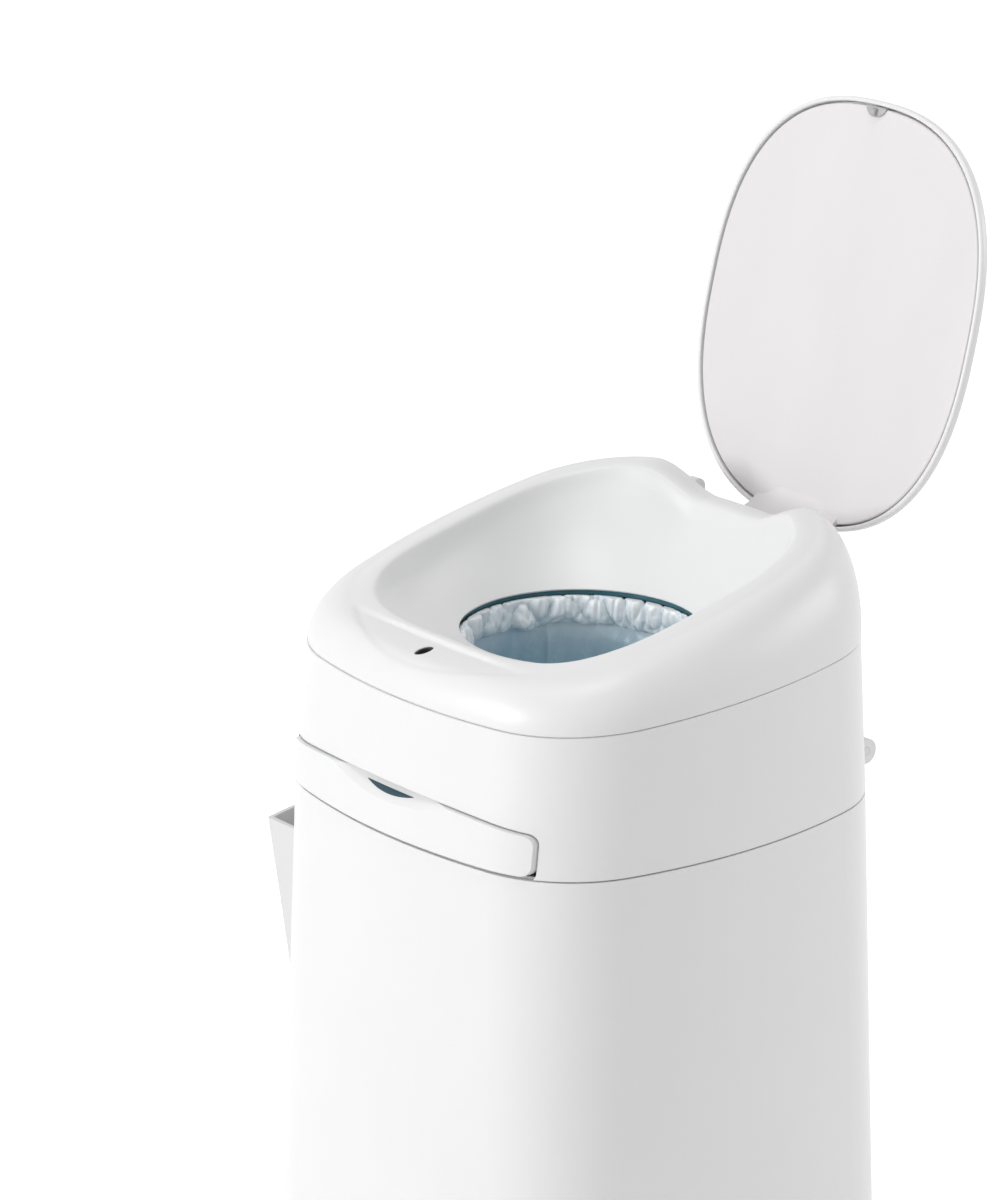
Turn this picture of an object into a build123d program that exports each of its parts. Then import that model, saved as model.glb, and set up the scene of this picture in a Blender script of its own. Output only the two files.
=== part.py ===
from build123d import *
import math
import os

# Litter disposal pail: a bucket with a tilting head that holds a film cassette
# and a spring-loaded clamp, a funnel cover and a leaning oval lid.
# Millimetres. +Z is up, the front faces -Y, the hinges are at the rear, +Y.
# The origin is the middle of the base's underside.

# ---------------------------------------------------------------- outer form
SEAM_Z = 290.0          # top of the bucket, where the head sits
HALF_W = 115.0          # half the width at the seam
HALF_D = 111.5          # half the depth at the seam
FRONT_ARC = 307.0       # radius of the bulged front and rear
SIDE_ARC = 258.0        # radius of the bulged sides
CORNER = 57.0           # radius of the upright corners
FLARE = 10.0            # how far each side spreads from the seam to the base
BAND_H = 68.0           # height of the head's band at its middle
BAND_SLOPE = 0.058      # rise of the band's top edge towards the rear
BAND_SIDE_IN = 2.7      # how far the band draws in at the sides
BAND_FRONT_IN = 7.2     # and at the front
BAND_REAR_IN = 3.7      # and at the rear
RIM_H = 101.3           # height of the funnel's rim above the seam, at its middle
RIM_SLOPE = 0.228       # rise of the rim towards the rear
SADDLE_START = 40.0     # from here back the rim dips towards the lid's hinge
SADDLE_END = 95.0
SADDLE_DROP = 16.0      # how far it has dipped there
SADDLE_R = 150.0        # radius of the dip across the rim
WALL = 2.6              # moulded wall
GAP = 0.3               # gap between separate mouldings
SEAM_GAP = 0.6          # shadow gap along a seam
LIP_GAP = 0.4           # gap beside a locating lip
LIP = 1.8               # thickness of a locating lip
RUNNING = 0.05          # radial clearance of a pin in its hole
CUT = 1.0               # how far a cutting form passes a face

# ------------------------------------------------------------------- bucket
BASE_T = 3.0            # floor plate
BASE_RIM_H = 14.0       # upstand round the floor plate
BEAD = 1.6              # snap bead above the upstand
BASE_RIB = 195.0        # length of the floor's crossed ribs
BASE_RING_R = 38.0      # round rib in the middle of the floor
LIP_UP = 5.0            # how far the locating lip stands above the seam
LIP_DOWN = 10.0         # how far it reaches down inside
LIP_REAR_Y = 50.0       # the lip stops here, so that the head can tilt

# ------------------------------------------------- scoop pocket on the left
POCKET_OUT = 26.0       # how far the pocket's mouth stands out
POCKET_FOOT = 5.0       # how far its foot stands out
POCKET_TOP = 252.0      # height of the mouth
POCKET_H = 82.0         # height of the pocket
POCKET_FRONT = -78.0
POCKET_REAR = 24.0
POCKET_WALL = 2.2

# ----------------------------------------------------------- head tilt hinge
TILT_OUT_BY = 7.0       # the axis lies this far behind the rear at the seam
TILT_Y = HALF_D + TILT_OUT_BY
TILT_H = 3.0            # axis above the seam
TILT_R = 6.0            # knuckle
TILT_PIN_R = 2.0
TILT_IN = 40.0          # inner end of each hinge
TILT_EAR = 5.7          # width of each of the bucket's ears
TILT_KNUCKLE = 10.0     # width of the head's knuckle
TILT_WEB_DROP = 11.0    # how far an ear's web runs down the bucket

# --------------------------------------------------------- cover tilt hinge
FLAP_OUT_BY = 0.8       # the axis lies this far behind the rear at the seam
FLAP_Y = HALF_D + FLAP_OUT_BY
FLAP_R = 4.0
FLAP_PIN_R = 1.5
FLAP_IN = 24.0
FLAP_EAR = 4.7
FLAP_KNUCKLE = 10.0
FLAP_WEB = 8.0

# ---------------------------------------------------------------- lid hinge
HINGE_IN_BY = 7.8       # the axis lies this far inside the rear at the seam
HINGE_Y = HALF_D - HINGE_IN_BY
HINGE_H = 101.6         # axis above the seam
HINGE_R = 4.5           # barrel on the lid
HINGE_PIN_R = 1.75
HINGE_HALF = 38.0       # half the barrel's length
HINGE_EAR = 6.0         # width of each ear on the cover
HINGE_EAR_R = 5.5
HINGE_BITE = 4.0        # how far a pin goes into the barrel
NOTCH_ROOM = 7.2        # from the axis to the front face of the barrel's notch
NOTCH_FRONT = HINGE_Y - NOTCH_ROOM
NOTCH_FLOOR = 95.5      # floor of the notch above the seam

# ---------------------------------------------------------------------- lid
LID_ANGLE = 75.95       # the open lid's slope above the horizontal
LID_HALF_W = 87.0
LID_HALF_L = 98.3
LID_POWER = 2.5         # exponent of the lid's rounded outline
LID_MID = 98.0          # middle of the outline from the hinge
LID_RISE = 24.2         # the lid's inner face stands this far off the hinge
LID_T = 8.0             # depth of the lid shell
LID_SKIN = 2.2
LID_EDGE = 4.5          # rounding of the outer edge
LINER_T = 1.8
LINER_IN = 0.8          # the liner lies this far inside the rim
FLANGE_T = 2.8          # plate that joins the lid to its barrel
NUB_Y = 191.0
NUB_W = 3.0
NUB_DEEP = 3.0
NUB_R = 0.6             # rounding of the nub's tip

# ------------------------------------------------------------ funnel, mouth
MOUTH_HALF_W = 82.0
MOUTH_FRONT = -66.0
MOUTH_REAR = 86.0
MOUTH_POWER = 2.45
WAIST_H = 84.0          # the funnel's middle section above the seam
WAIST_HALF_W = 64.0
WAIST_FRONT = -58.5
WAIST_REAR = 67.0
WAIST_POWER = 2.2
THROAT_H = 72.0         # the funnel's lower edge above the seam
THROAT_R = 53.75
LATCH_Y = -89.6
LATCH_W = 3.4
RECESS_FRONT = -99.0    # shallow bow-shaped recess in the front shelf
RECESS_BACK = -79.0
RECESS_HALF = 61.0
RECESS_R = 3.0
RECESS_DEEP = 1.0
SHOULDER = (            # share of the height, drawn in at the sides, front and rear
    (0.0, 0.0, 0.0, 0.0),
    (0.45, 1.8, 1.0, 2.0),
    (0.75, 6.0, 2.5, 5.5),
    (0.92, 12.0, 6.0, 9.5),
    (1.0, 20.0, 12.0, 14.0),
)

# ------------------------------------------------------------------- handle
OPEN_IN = 30.4          # the opening in the band ends this far inside the sides
OPEN_HALF = HALF_W - OPEN_IN
OPEN_TOP = 24.5         # top of the opening above the seam, at its middle
OPEN_END = 20.0         # and towards its ends
OPEN_R = 4.5            # rounding of its upper corners
HANDLE_GAP = 0.6
HANDLE_LIFT = 2.0       # gap under the handle
HANDLE_PROUD = 1.8      # the handle stands this far proud of the band
HANDLE_T = 3.2
GRIP_T = 6.5            # how far back the grip's ledge reaches from the face
BEVEL_DEEP = 9.0        # depth of the finger bevel on the handle's top
BEVEL_IN = 10.6         # the bevel ends this far inside the opening
BEVEL_HALF = OPEN_HALF - BEVEL_IN
BEVEL_LEAN = 42.0
TRAVEL = 50.0           # pull of the handle
HANDLE_BOSS_X = 52.0    # bosses that the crossbar is screwed to
HANDLE_BOSS_R = 4.5
HANDLE_SCREW_BITE = 5.0 # how far a screw goes into its boss

# -------------------------------------------------------------------- clamp
BASE_LOW = -2.5         # underside of the clamp's base, from the seam
BASE_HIGH = 0.5
COVER_LOW = 22.5        # underside of the clamp's cover
COVER_HIGH = 25.0
CLAMP_IN = 8.0          # the clamp stands this far inside the outline
FILM_HALF_GAP = 0.6     # half the space for the film between the pads
PAD_T = 3.4
JAW_T = 4.0
JAW_LOW = 1.5
JAW_TOP = 20.0
JAW_RIB = 2.0           # thickness of a jaw's ribs
JAW_FOOT = 3.0          # thickness of its foot
PAD_IN = 2.0            # the pads end this far inside the jaws
PAD_LOW = 5.5
PAD_TOP = 19.0
JAW_DEPTH = 52.0        # depth of the fixed jaw's foot
BAR_FRONT = -92.0       # crossbar behind the handle
BAR_T = 8.0
BAR_LOW = 1.5
BAR_TOP = 18.0
ARM_T = 4.5
ROD_IN = 29.0           # the guide rods lie this far inside the sides
ROD_X = HALF_W - ROD_IN
ARM_GAP = 7.0           # from a guide rod to the outer face of its arm
BAR_HALF = ROD_X - ARM_GAP
JAW_GAP = 2.5           # gap between an arm and the jaws
JAW_HALF = BAR_HALF - ARM_T - JAW_GAP
ROD_Z = 10.0
ROD_R = 3.0
ROD_FRONT = -80.0
ROD_REAR = 66.0
BOSS_T = 6.0            # thickness of a rod's end block
BUSH_Y = 18.0           # front face of the bush at rest
BUSH_LEN = 10.0
BUSH_R = 5.0
BUSH_WALL = 1.5         # least wall round a bush
SPRING_R = 4.6          # mean radius of the return spring
SPRING_WIRE = 0.6       # radius of its wire
POST_IN = 18.0          # the posts stand this far inside the sides
POST_X = HALF_W - POST_IN
POST_Y = 45.0
POST_R = 3.8
SCREW_R = 1.5
SCREW_HEAD_R = 2.6
SCREW_HEAD_T = 1.8
LEDGE_IN = 10.0         # inner edge of the ledge that the clamp hangs from
LEDGE_OUT = 1.0         # the ledge runs this far into the band's wall
LEDGE_T = 2.5
SEAT_GAP = 0.1          # gap between the ledge and the clamp's cover
MOUNT_BOSS = 12.5       # height of a screw boss on the ledge
MOUNT_BITE = 7.5        # how far a mounting screw goes into its boss
MOUNT_REACH = 46.0      # mounting screws, from the corners' centres

# ----------------------------------------------------------------- cassette
TUB_GAP = 7.5           # gap between the tub and the edge of the clamp's ledge
TUB_R = min(HALF_W, HALF_D) - LEDGE_IN - TUB_GAP
TUB_WALL = 1.8
TUB_INNER_R = 57.4      # bore of the tub
TUB_BOTTOM = 25.3
TUB_TOP = 67.0
TUB_INNER_TOP = 64.0    # the inner wall is lower, and the film passes over it
CAP_LOW = 69.0          # flat ring that closes the tub
CAP_HIGH = 71.2
CAP_R = 55.3
CAP_SPIGOT = 3.0        # the cap's inner rim reaches this far into the tub
PACK_R = 2.0            # rounding of the folded film's edges
PACK_GAP = 2.0
FILM_R = 56.6
FILM_T = 0.9
FILM_TOP = 68.4
FILM_FOLD = 21.4        # the film turns inwards over the jaws here

# ---------------------------------------------------------------------- bag
NECK_IN = 6.0           # the film's flat neck is this much narrower than the jaws
NECK_HALF = JAW_HALF - NECK_IN
NECK_LOW = -12.0
NECK_HALF_D = 2.0
BAG_WIDE = -70.0
BAG_HALF_W = 50.0
BAG_HALF_D = 36.0
BAG_TAPER = -101.0      # the bag starts to draw in to its knot here
TAPER_HALF_W = 42.0
TAPER_HALF_D = 32.4
BAG_LOW = -132.0
BAG_TIP_R = 7.0
KNOT_R = 10.0
KNOT_DROP = 8.0         # its centre lies this far below the bag

# ------------------------------------------------------------------- cutter
CUTTER_X = 0.0
CUTTER_Y = 74.0
CUTTER_W = 54.0
CUTTER_D = 16.0
CUTTER_H = 20.0
CUTTER_SLOT = 5.0
CUTTER_SLOT_DEEP = 34.0
BLADE_T = 0.6
BLADE_LEN = 8.0
CUTTER_R = 3.0

LID_OUT = math.radians(LID_ANGLE)
LOCAL_LID = Plane(
    origin=(0, HINGE_Y, SEAM_Z + HINGE_H),
    x_dir=(1, 0, 0),
    z_dir=(0, -math.sin(LID_OUT), math.cos(LID_OUT)),
)

os.makedirs("parts", exist_ok=True)


def save(builder, name):
    """Label a finished piece and write it as its own STEP file."""
    builder.part.label = name
    export_step(builder.part, f"parts/{name}.step")


def sloped(height, slope):
    """Plane at a height above the seam that rises towards the rear."""
    return Plane(origin=(0, 0, SEAM_Z + height), x_dir=(1, 0, 0), z_dir=(0, -slope, 1))


def plan(half_w, half_d, shift=0.0, inset=0.0):
    """Plan face: four long bulged sides with round corners, drawn in by inset."""
    with BuildSketch(Plane.XY) as face:
        with Locations((0, shift + FRONT_ARC - half_d)):
            Circle(FRONT_ARC - inset)
        with Locations((0, shift - FRONT_ARC + half_d)):
            Circle(FRONT_ARC - inset, mode=Mode.INTERSECT)
        with Locations((SIDE_ARC - half_w, shift)):
            Circle(SIDE_ARC - inset, mode=Mode.INTERSECT)
        with Locations((half_w - SIDE_ARC, shift)):
            Circle(SIDE_ARC - inset, mode=Mode.INTERSECT)
        fillet(face.vertices(), CORNER - inset)
    return face.sketch


def power_face(half_w, half_d, power, shift=0.0, count=24):
    """Smooth closed face whose outline is |x/w|^power + |y/d|^power = 1."""
    points = []
    for step in range(count):
        turn = 2 * math.pi * step / count
        x = math.copysign(abs(math.cos(turn)) ** (2 / power), math.cos(turn))
        y = math.copysign(abs(math.sin(turn)) ** (2 / power), math.sin(turn))
        points.append((half_w * x, shift + half_d * y))
    with BuildSketch(Plane.XY) as face:
        with BuildLine():
            Spline(points, periodic=True)
        make_face()
    return face.sketch


def lofted(sections):
    """Solid through a list of (plane, face) sections."""
    with BuildPart() as form:
        for plane, face in sections:
            with BuildSketch(plane):
                add(face)
        loft()
    return form.part


def block(x_low, x_high, y_low, y_high, z_low, z_high):
    """Box between two corners, its heights measured from the seam."""
    with BuildPart() as form:
        with BuildSketch(Plane.XY.offset(SEAM_Z + z_low)):
            with Locations(((x_low + x_high) / 2, (y_low + y_high) / 2)):
                Rectangle(x_high - x_low, y_high - y_low)
        extrude(amount=z_high - z_low)
    return form.part


def rod(x_low, x_high, y, height, radius):
    """Round bar along X at a height above the seam."""
    with BuildPart() as form:
        with BuildSketch(Plane.YZ.offset(x_low)):
            with Locations((y, SEAM_Z + height)):
                Circle(radius)
        extrude(amount=x_high - x_low)
    return form.part


def ring(inner, outer, z_low, z_high):
    """Flat round ring on the upright axis, its heights measured from the seam."""
    with BuildPart() as form:
        with BuildSketch(Plane.XY.offset(SEAM_Z + z_low)):
            Circle(outer)
            Circle(inner, mode=Mode.SUBTRACT)
        extrude(amount=z_high - z_low)
    return form.part


def bucket_plan(z, inset=0.0):
    """The bucket's plan at a height above the floor."""
    grow = FLARE * (1 - z / SEAM_Z)
    return plan(HALF_W + grow, HALF_D + grow, inset=inset)


def bucket_form(inset, z_low, z_high):
    """Solid of the bucket's outer form between two heights."""
    return lofted([
        (Plane.XY.offset(z_low), bucket_plan(z_low, inset)),
        (Plane.XY.offset(z_high), bucket_plan(z_high, inset)),
    ])


def band_size(height):
    """Half width, half depth and shift of the band's plan above the seam."""
    share = height / BAND_H
    half_d = HALF_D - (BAND_FRONT_IN + BAND_REAR_IN) / 2 * share
    return HALF_W - BAND_SIDE_IN * share, half_d, (BAND_FRONT_IN - BAND_REAR_IN) / 2 * share


def band_form(inset, low, high):
    """Solid of the head band's outer form between two heights above the seam."""
    return lofted([
        (Plane.XY.offset(SEAM_Z + height), plan(*band_size(height), inset=inset))
        for height in (low, high)
    ])


def cover_form(inset, drop):
    """Solid of the funnel cover's outer form, up to its sloped top."""
    half_w, half_d, shift = band_size(BAND_H)
    front, rear = shift - half_d, shift + half_d
    sections = []
    for share, side_in, front_in, rear_in in SHOULDER:
        height = BAND_H + share * (RIM_H - BAND_H - drop)
        slope = BAND_SLOPE + share * (RIM_SLOPE - BAND_SLOPE)
        low, high = front + front_in, rear - rear_in
        face = plan(half_w - side_in, (high - low) / 2, (high + low) / 2, inset)
        sections.append((sloped(height, slope), face))
    return lofted(sections)


def funnel_form(grow, above):
    """Solid of the funnel's inside, from above the rim down to the throat."""
    def oval(half_w, front, rear, power):
        return power_face(half_w + grow, (rear - front) / 2 + grow, power, (rear + front) / 2)
    waist_slope = RIM_SLOPE * (WAIST_H - THROAT_H) / (RIM_H - THROAT_H)
    return lofted([
        (sloped(RIM_H + above, RIM_SLOPE), oval(MOUTH_HALF_W, MOUTH_FRONT, MOUTH_REAR, MOUTH_POWER)),
        (sloped(WAIST_H, waist_slope), oval(WAIST_HALF_W, WAIST_FRONT, WAIST_REAR, WAIST_POWER)),
        (sloped(THROAT_H, 0), oval(THROAT_R, -THROAT_R, THROAT_R, 2.0)),
    ])


def saddle(lift):
    """Round bar whose underside gives the rim its dip at the rear, raised by a lift."""
    rise = RIM_SLOPE * (SADDLE_END - SADDLE_START) - SADDLE_DROP
    run = SADDLE_END - SADDLE_START
    reach = math.hypot(run, rise)
    low = SEAM_Z + RIM_H + RIM_SLOPE * SADDLE_START + lift
    start = Plane(
        origin=(0, SADDLE_START - SADDLE_R * rise / reach, low + SADDLE_R * run / reach),
        x_dir=(1, 0, 0),
        z_dir=(0, run, rise),
    )
    with BuildPart() as form:
        with BuildSketch(start):
            Circle(SADDLE_R)
        extrude(amount=HALF_D)
    return form.part


def rear_wall(x, height):
    """How far back the bulged rear reaches at a distance from the middle."""
    half_d, shift = band_size(max(height, 0))[1:]
    return shift + half_d - FRONT_ARC + math.sqrt(FRONT_ARC**2 - x**2)


def hinge_web(x_low, x_high, axis_y, axis_h, radius, reach):
    """Wedge that carries a knuckle: from the knuckle to the wall, up or down."""
    wall_y = rear_wall(max(abs(x_low), abs(x_high)), axis_h + reach) - WALL / 4
    with BuildPart() as form:
        with BuildSketch(Plane.YZ.offset(x_low)):
            with BuildLine():
                Polyline(
                    (axis_y + radius * 0.8, SEAM_Z + axis_h),
                    (axis_y - radius * 0.2, SEAM_Z + axis_h + math.copysign(radius * 0.95, reach)),
                    (wall_y, SEAM_Z + axis_h + reach),
                    (wall_y, SEAM_Z + axis_h),
                    close=True,
                )
            make_face()
        extrude(amount=x_high - x_low)
    return form.part


# ------------------------------------------------------------- the bucket
TILT_OUT = TILT_IN + 2 * TILT_EAR + TILT_KNUCKLE + 2 * GAP
TILT_SPANS = (
    (TILT_IN, TILT_IN + TILT_EAR),
    (TILT_OUT - TILT_EAR, TILT_OUT),
)
TILT_KNUCKLE_IN = TILT_IN + TILT_EAR + GAP


def both_sides(low, high):
    """The same stretch of X on the right and on the left."""
    return ((low, high), (-high, -low))


bucket_solid = bucket_form(0, 0, SEAM_Z) - bucket_form(WALL, -1, SEAM_Z + 1)
bead_low = BASE_RIM_H + GAP
bucket_bead = bucket_form(WALL / 2, bead_low, bead_low + BEAD + 1) - bucket_form(
    WALL + BEAD, bead_low - 1, bead_low + BEAD + 2
)
lip_low, lip_high = SEAM_Z - LIP_DOWN, SEAM_Z + LIP_UP
bucket_lip = bucket_form(WALL + LIP_GAP, lip_low, lip_high) - bucket_form(
    WALL + LIP_GAP + LIP, lip_low - 1, lip_high + 1
)
lip_foot = bucket_form(WALL / 2, lip_low, lip_low + LIP) - bucket_form(
    WALL + LIP_GAP + LIP, lip_low - 1, lip_low + LIP + 1
)
bucket_lip = bucket_lip + lip_foot
bucket_lip = bucket_lip - block(-HALF_W, HALF_W, LIP_REAR_Y, 2 * HALF_D, -LIP_DOWN - 1, LIP_UP + 1)
handle_clear = OPEN_HALF + 2
bucket_lip = bucket_lip - block(-handle_clear, handle_clear, -2 * HALF_D, 0, 1, LIP_UP + 1)

with BuildPart() as pail_body:
    add(bucket_solid)
    add(bucket_bead)
    add(bucket_lip)
    for span_low, span_high in TILT_SPANS:
        for x_low, x_high in both_sides(span_low, span_high):
            add(rod(x_low, x_high, TILT_Y, TILT_H, TILT_R))
            add(hinge_web(x_low, x_high, TILT_Y, TILT_H, TILT_R, -TILT_WEB_DROP - TILT_H))
    add(block(-TILT_OUT - 1, TILT_OUT + 1, 0, HALF_D + SEAM_GAP, 0, 2 * TILT_R), mode=Mode.SUBTRACT)
    for x_low, x_high in both_sides(TILT_IN - 1, TILT_OUT + 1):
        add(rod(x_low, x_high, TILT_Y, TILT_H, TILT_PIN_R + RUNNING), mode=Mode.SUBTRACT)
save(pail_body, "pail_body")

with BuildPart() as pail_base:
    add(bucket_form(WALL + GAP, 0, BASE_RIM_H))
    add(bucket_form(WALL + GAP + WALL, BASE_T, BASE_RIM_H + 1), mode=Mode.SUBTRACT)
    with BuildSketch(Plane.XY.offset(BASE_T)):
        for turn in (45, -45):
            with Locations(Location((0, 0, 0), turn)):
                Rectangle(BASE_RIB, WALL)
        Circle(BASE_RING_R)
        Circle(BASE_RING_R - WALL, mode=Mode.SUBTRACT)
    extrude(amount=BASE_T)
save(pail_base, "pail_base")

with BuildPart() as head_hinge_pins:
    for x_low, x_high in both_sides(TILT_IN, TILT_OUT):
        add(rod(x_low, x_high, TILT_Y, TILT_H, TILT_PIN_R))
save(head_hinge_pins, "head_hinge_pins")

# ------------------------------------------------------- the scoop's pocket


def pocket_form(inset, z_low, z_high, front, rear):
    """The pocket's form, which spreads from its foot to its mouth."""
    foot_z = POCKET_TOP - POCKET_H
    grow_foot = FLARE * (1 - foot_z / SEAM_Z) + POCKET_FOOT
    grow_top = FLARE * (1 - POCKET_TOP / SEAM_Z) + POCKET_OUT
    sections = []
    for z in (z_low, z_high):
        grow = grow_foot + (grow_top - grow_foot) * (z - foot_z) / POCKET_H
        sections.append((Plane.XY.offset(z), plan(HALF_W + grow, HALF_D + grow, 0, inset)))
    reach = HALF_W + 2 * POCKET_OUT
    span = block(-reach, 0, front, rear, z_low - SEAM_Z, z_high - SEAM_Z)
    return lofted(sections) & span


pocket_low = POCKET_TOP - POCKET_H
pocket_solid = pocket_form(0, pocket_low, POCKET_TOP, POCKET_FRONT, POCKET_REAR)
pocket_solid = pocket_solid - bucket_form(-GAP, pocket_low - 1, POCKET_TOP + 1)
pocket_room = pocket_form(
    POCKET_WALL,
    pocket_low + POCKET_WALL,
    POCKET_TOP + 1,
    POCKET_FRONT + POCKET_WALL,
    POCKET_REAR - POCKET_WALL,
) - bucket_form(-GAP - POCKET_WALL, pocket_low - 1, POCKET_TOP + 2)

with BuildPart() as scoop_holder:
    add(pocket_solid)
    add(pocket_room, mode=Mode.SUBTRACT)
save(scoop_holder, "scoop_holder")

# ------------------------------------------------------- the head's housing


def opening(margin, low):
    """Upright face of the handle's opening, drawn in by a margin."""
    top, end, half = OPEN_TOP - margin, OPEN_END - margin, OPEN_HALF - margin
    with BuildSketch(Plane.XZ) as face:
        with BuildLine():
            ThreePointArc((-half, SEAM_Z + end), (0, SEAM_Z + top), (half, SEAM_Z + end))
            Polyline(
                (half, SEAM_Z + end),
                (half, SEAM_Z + low),
                (-half, SEAM_Z + low),
                (-half, SEAM_Z + end),
            )
        make_face()
        upper = face.vertices().group_by(Axis.Z)[-1]
        fillet(upper, OPEN_R)
    return face.sketch


def through_front(face):
    """Solid that carries an upright face from the centre out through the front."""
    with BuildPart() as form:
        add(extrude(face, amount=HALF_D * 1.3, dir=(0, -1, 0), mode=Mode.PRIVATE))
    return form.part


above_band = lofted([
    (sloped(BAND_H, BAND_SLOPE), plan(2 * HALF_W, 2 * HALF_D)),
    (sloped(2 * BAND_H, BAND_SLOPE), plan(2 * HALF_W, 2 * HALF_D)),
])
ledge_low = COVER_HIGH + SEAT_GAP
ledge_high = ledge_low + LEDGE_T
band_ledge = band_form(LEDGE_OUT, ledge_low, ledge_high) - band_form(
    LEDGE_IN, ledge_low - CUT, ledge_high + CUT
)


def corner_centres():
    """Centres of the upright corners' arcs at the seam."""
    near, far = SIDE_ARC - CORNER, FRONT_ARC - CORNER
    across, along = SIDE_ARC - HALF_W, FRONT_ARC - HALF_D
    span = math.hypot(across, along)
    reach = (near**2 - far**2 + span**2) / (2 * span)
    height = math.sqrt(near**2 - reach**2)
    x = abs(-across + reach * across / span + height * along / span)
    y = abs(reach * along / span - height * across / span)
    return x, y


CORNER_X, CORNER_Y = corner_centres()
MOUNTS = [
    (side * (CORNER_X + MOUNT_REACH * math.sqrt(0.5)), end * (CORNER_Y + MOUNT_REACH * math.sqrt(0.5)))
    for side in (-1, 1)
    for end in (-1, 1)
]

TILT_WEB_UP = 2 * TILT_R
FLAP_H = BAND_H + BAND_SLOPE * FLAP_Y
FLAP_SPANS = (
    (FLAP_IN, FLAP_IN + FLAP_EAR),
    (FLAP_IN + FLAP_EAR + FLAP_KNUCKLE + 2 * GAP, FLAP_IN + 2 * FLAP_EAR + FLAP_KNUCKLE + 2 * GAP),
)
FLAP_OUT = FLAP_SPANS[1][1]
FLAP_KNUCKLE_IN = FLAP_IN + FLAP_EAR + GAP

with BuildPart() as head_housing:
    band_top = BAND_H + BAND_SLOPE * HALF_D + 2 * WALL
    add(band_form(0, SEAM_GAP, band_top))
    add(band_form(WALL, 0, band_top + CUT), mode=Mode.SUBTRACT)
    add(above_band, mode=Mode.SUBTRACT)
    add(band_ledge)
    with BuildSketch(Plane.XY.offset(SEAM_Z + ledge_low)):
        with Locations(*MOUNTS):
            Circle(POST_R)
    extrude(amount=MOUNT_BOSS)
    add(through_front(opening(0, -1)), mode=Mode.SUBTRACT)
    for x_low, x_high in both_sides(TILT_KNUCKLE_IN, TILT_KNUCKLE_IN + TILT_KNUCKLE):
        add(rod(x_low, x_high, TILT_Y, TILT_H, TILT_R))
        add(hinge_web(x_low, x_high, TILT_Y, TILT_H, TILT_R, TILT_WEB_UP))
        add(rod(x_low - 1, x_high + 1, TILT_Y, TILT_H, TILT_PIN_R + RUNNING), mode=Mode.SUBTRACT)
    for span_low, span_high in FLAP_SPANS:
        for x_low, x_high in both_sides(span_low, span_high):
            add(rod(x_low, x_high, FLAP_Y, FLAP_H, FLAP_R))
            add(hinge_web(x_low, x_high, FLAP_Y, FLAP_H, FLAP_R, -FLAP_WEB))
            add(rod(x_low - 1, x_high + 1, FLAP_Y, FLAP_H, FLAP_PIN_R + RUNNING), mode=Mode.SUBTRACT)
    with BuildSketch(Plane.XY.offset(SEAM_Z + ledge_low)):
        with Locations(*MOUNTS):
            Circle(SCREW_R + RUNNING)
    extrude(amount=MOUNT_BITE + CUT, mode=Mode.SUBTRACT)
save(head_housing, "head_housing")

with BuildPart() as cover_hinge_pins:
    for x_low, x_high in both_sides(FLAP_IN, FLAP_OUT):
        add(rod(x_low, x_high, FLAP_Y, FLAP_H, FLAP_PIN_R))
save(cover_hinge_pins, "cover_hinge_pins")

# --------------------------------------------------------- the funnel cover
cover_low = lofted([
    (sloped(0, BAND_SLOPE), plan(2 * HALF_W, 2 * HALF_D)),
    (sloped(BAND_H + SEAM_GAP, BAND_SLOPE), plan(2 * HALF_W, 2 * HALF_D)),
])
notch_half = HINGE_HALF + GAP


def notch(grow):
    """Room for the lid's barrel at the rear of the cover, grown by a wall."""
    return block(
        -notch_half - grow,
        notch_half + grow,
        NOTCH_FRONT - grow,
        2 * HALF_D,
        NOTCH_FLOOR - grow,
        2 * RIM_H,
    )


ear_spans = both_sides(notch_half, notch_half + HINGE_EAR)
cover_shell = cover_form(0, 0) - cover_low - saddle(0)
cover_room = cover_form(WALL, WALL) - funnel_form(WALL, 1) - notch(WALL) - saddle(-WALL)
ears = [rod(low, high, HINGE_Y, HINGE_H, HINGE_EAR_R) for low, high in ear_spans]
cover_shell = cover_shell - cover_room
throat_pipe = funnel_form(WALL, 1) & block(
    -HALF_W, HALF_W, -HALF_D, HALF_D, THROAT_H, BAND_H + BAND_SLOPE * HALF_D + SEAM_GAP
)
cover_shell = cover_shell + throat_pipe - funnel_form(0, 0.5) - notch(0)
shelf_slope = sloped(RIM_H, RIM_SLOPE)

with BuildPart() as funnel_cover:
    add(cover_shell)
    for ear in ears:
        add(ear)
    for low, high in both_sides(FLAP_KNUCKLE_IN, FLAP_KNUCKLE_IN + FLAP_KNUCKLE):
        add(rod(low, high, FLAP_Y, FLAP_H, FLAP_R))
        add(hinge_web(low, high, FLAP_Y, FLAP_H, FLAP_R, FLAP_WEB))
        add(rod(low - 1, high + 1, FLAP_Y, FLAP_H, FLAP_PIN_R + RUNNING), mode=Mode.SUBTRACT)
    for low, high in ear_spans:
        add(rod(low - 1, high, HINGE_Y, HINGE_H, HINGE_PIN_R + RUNNING), mode=Mode.SUBTRACT)
    with BuildSketch(shelf_slope) as recess:
        with BuildLine():
            Line((RECESS_HALF, RECESS_BACK), (-RECESS_HALF, RECESS_BACK))
            ThreePointArc((-RECESS_HALF, RECESS_BACK), (0, RECESS_FRONT), (RECESS_HALF, RECESS_BACK))
        make_face()
        fillet(recess.vertices(), RECESS_R)
    extrude(amount=-RECESS_DEEP, mode=Mode.SUBTRACT)
    with BuildSketch(shelf_slope):
        with Locations((0, LATCH_Y)):
            Rectangle(LATCH_W + 2 * GAP, LATCH_W)
    extrude(amount=-3 * WALL, mode=Mode.SUBTRACT)
save(funnel_cover, "funnel_cover")

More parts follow.
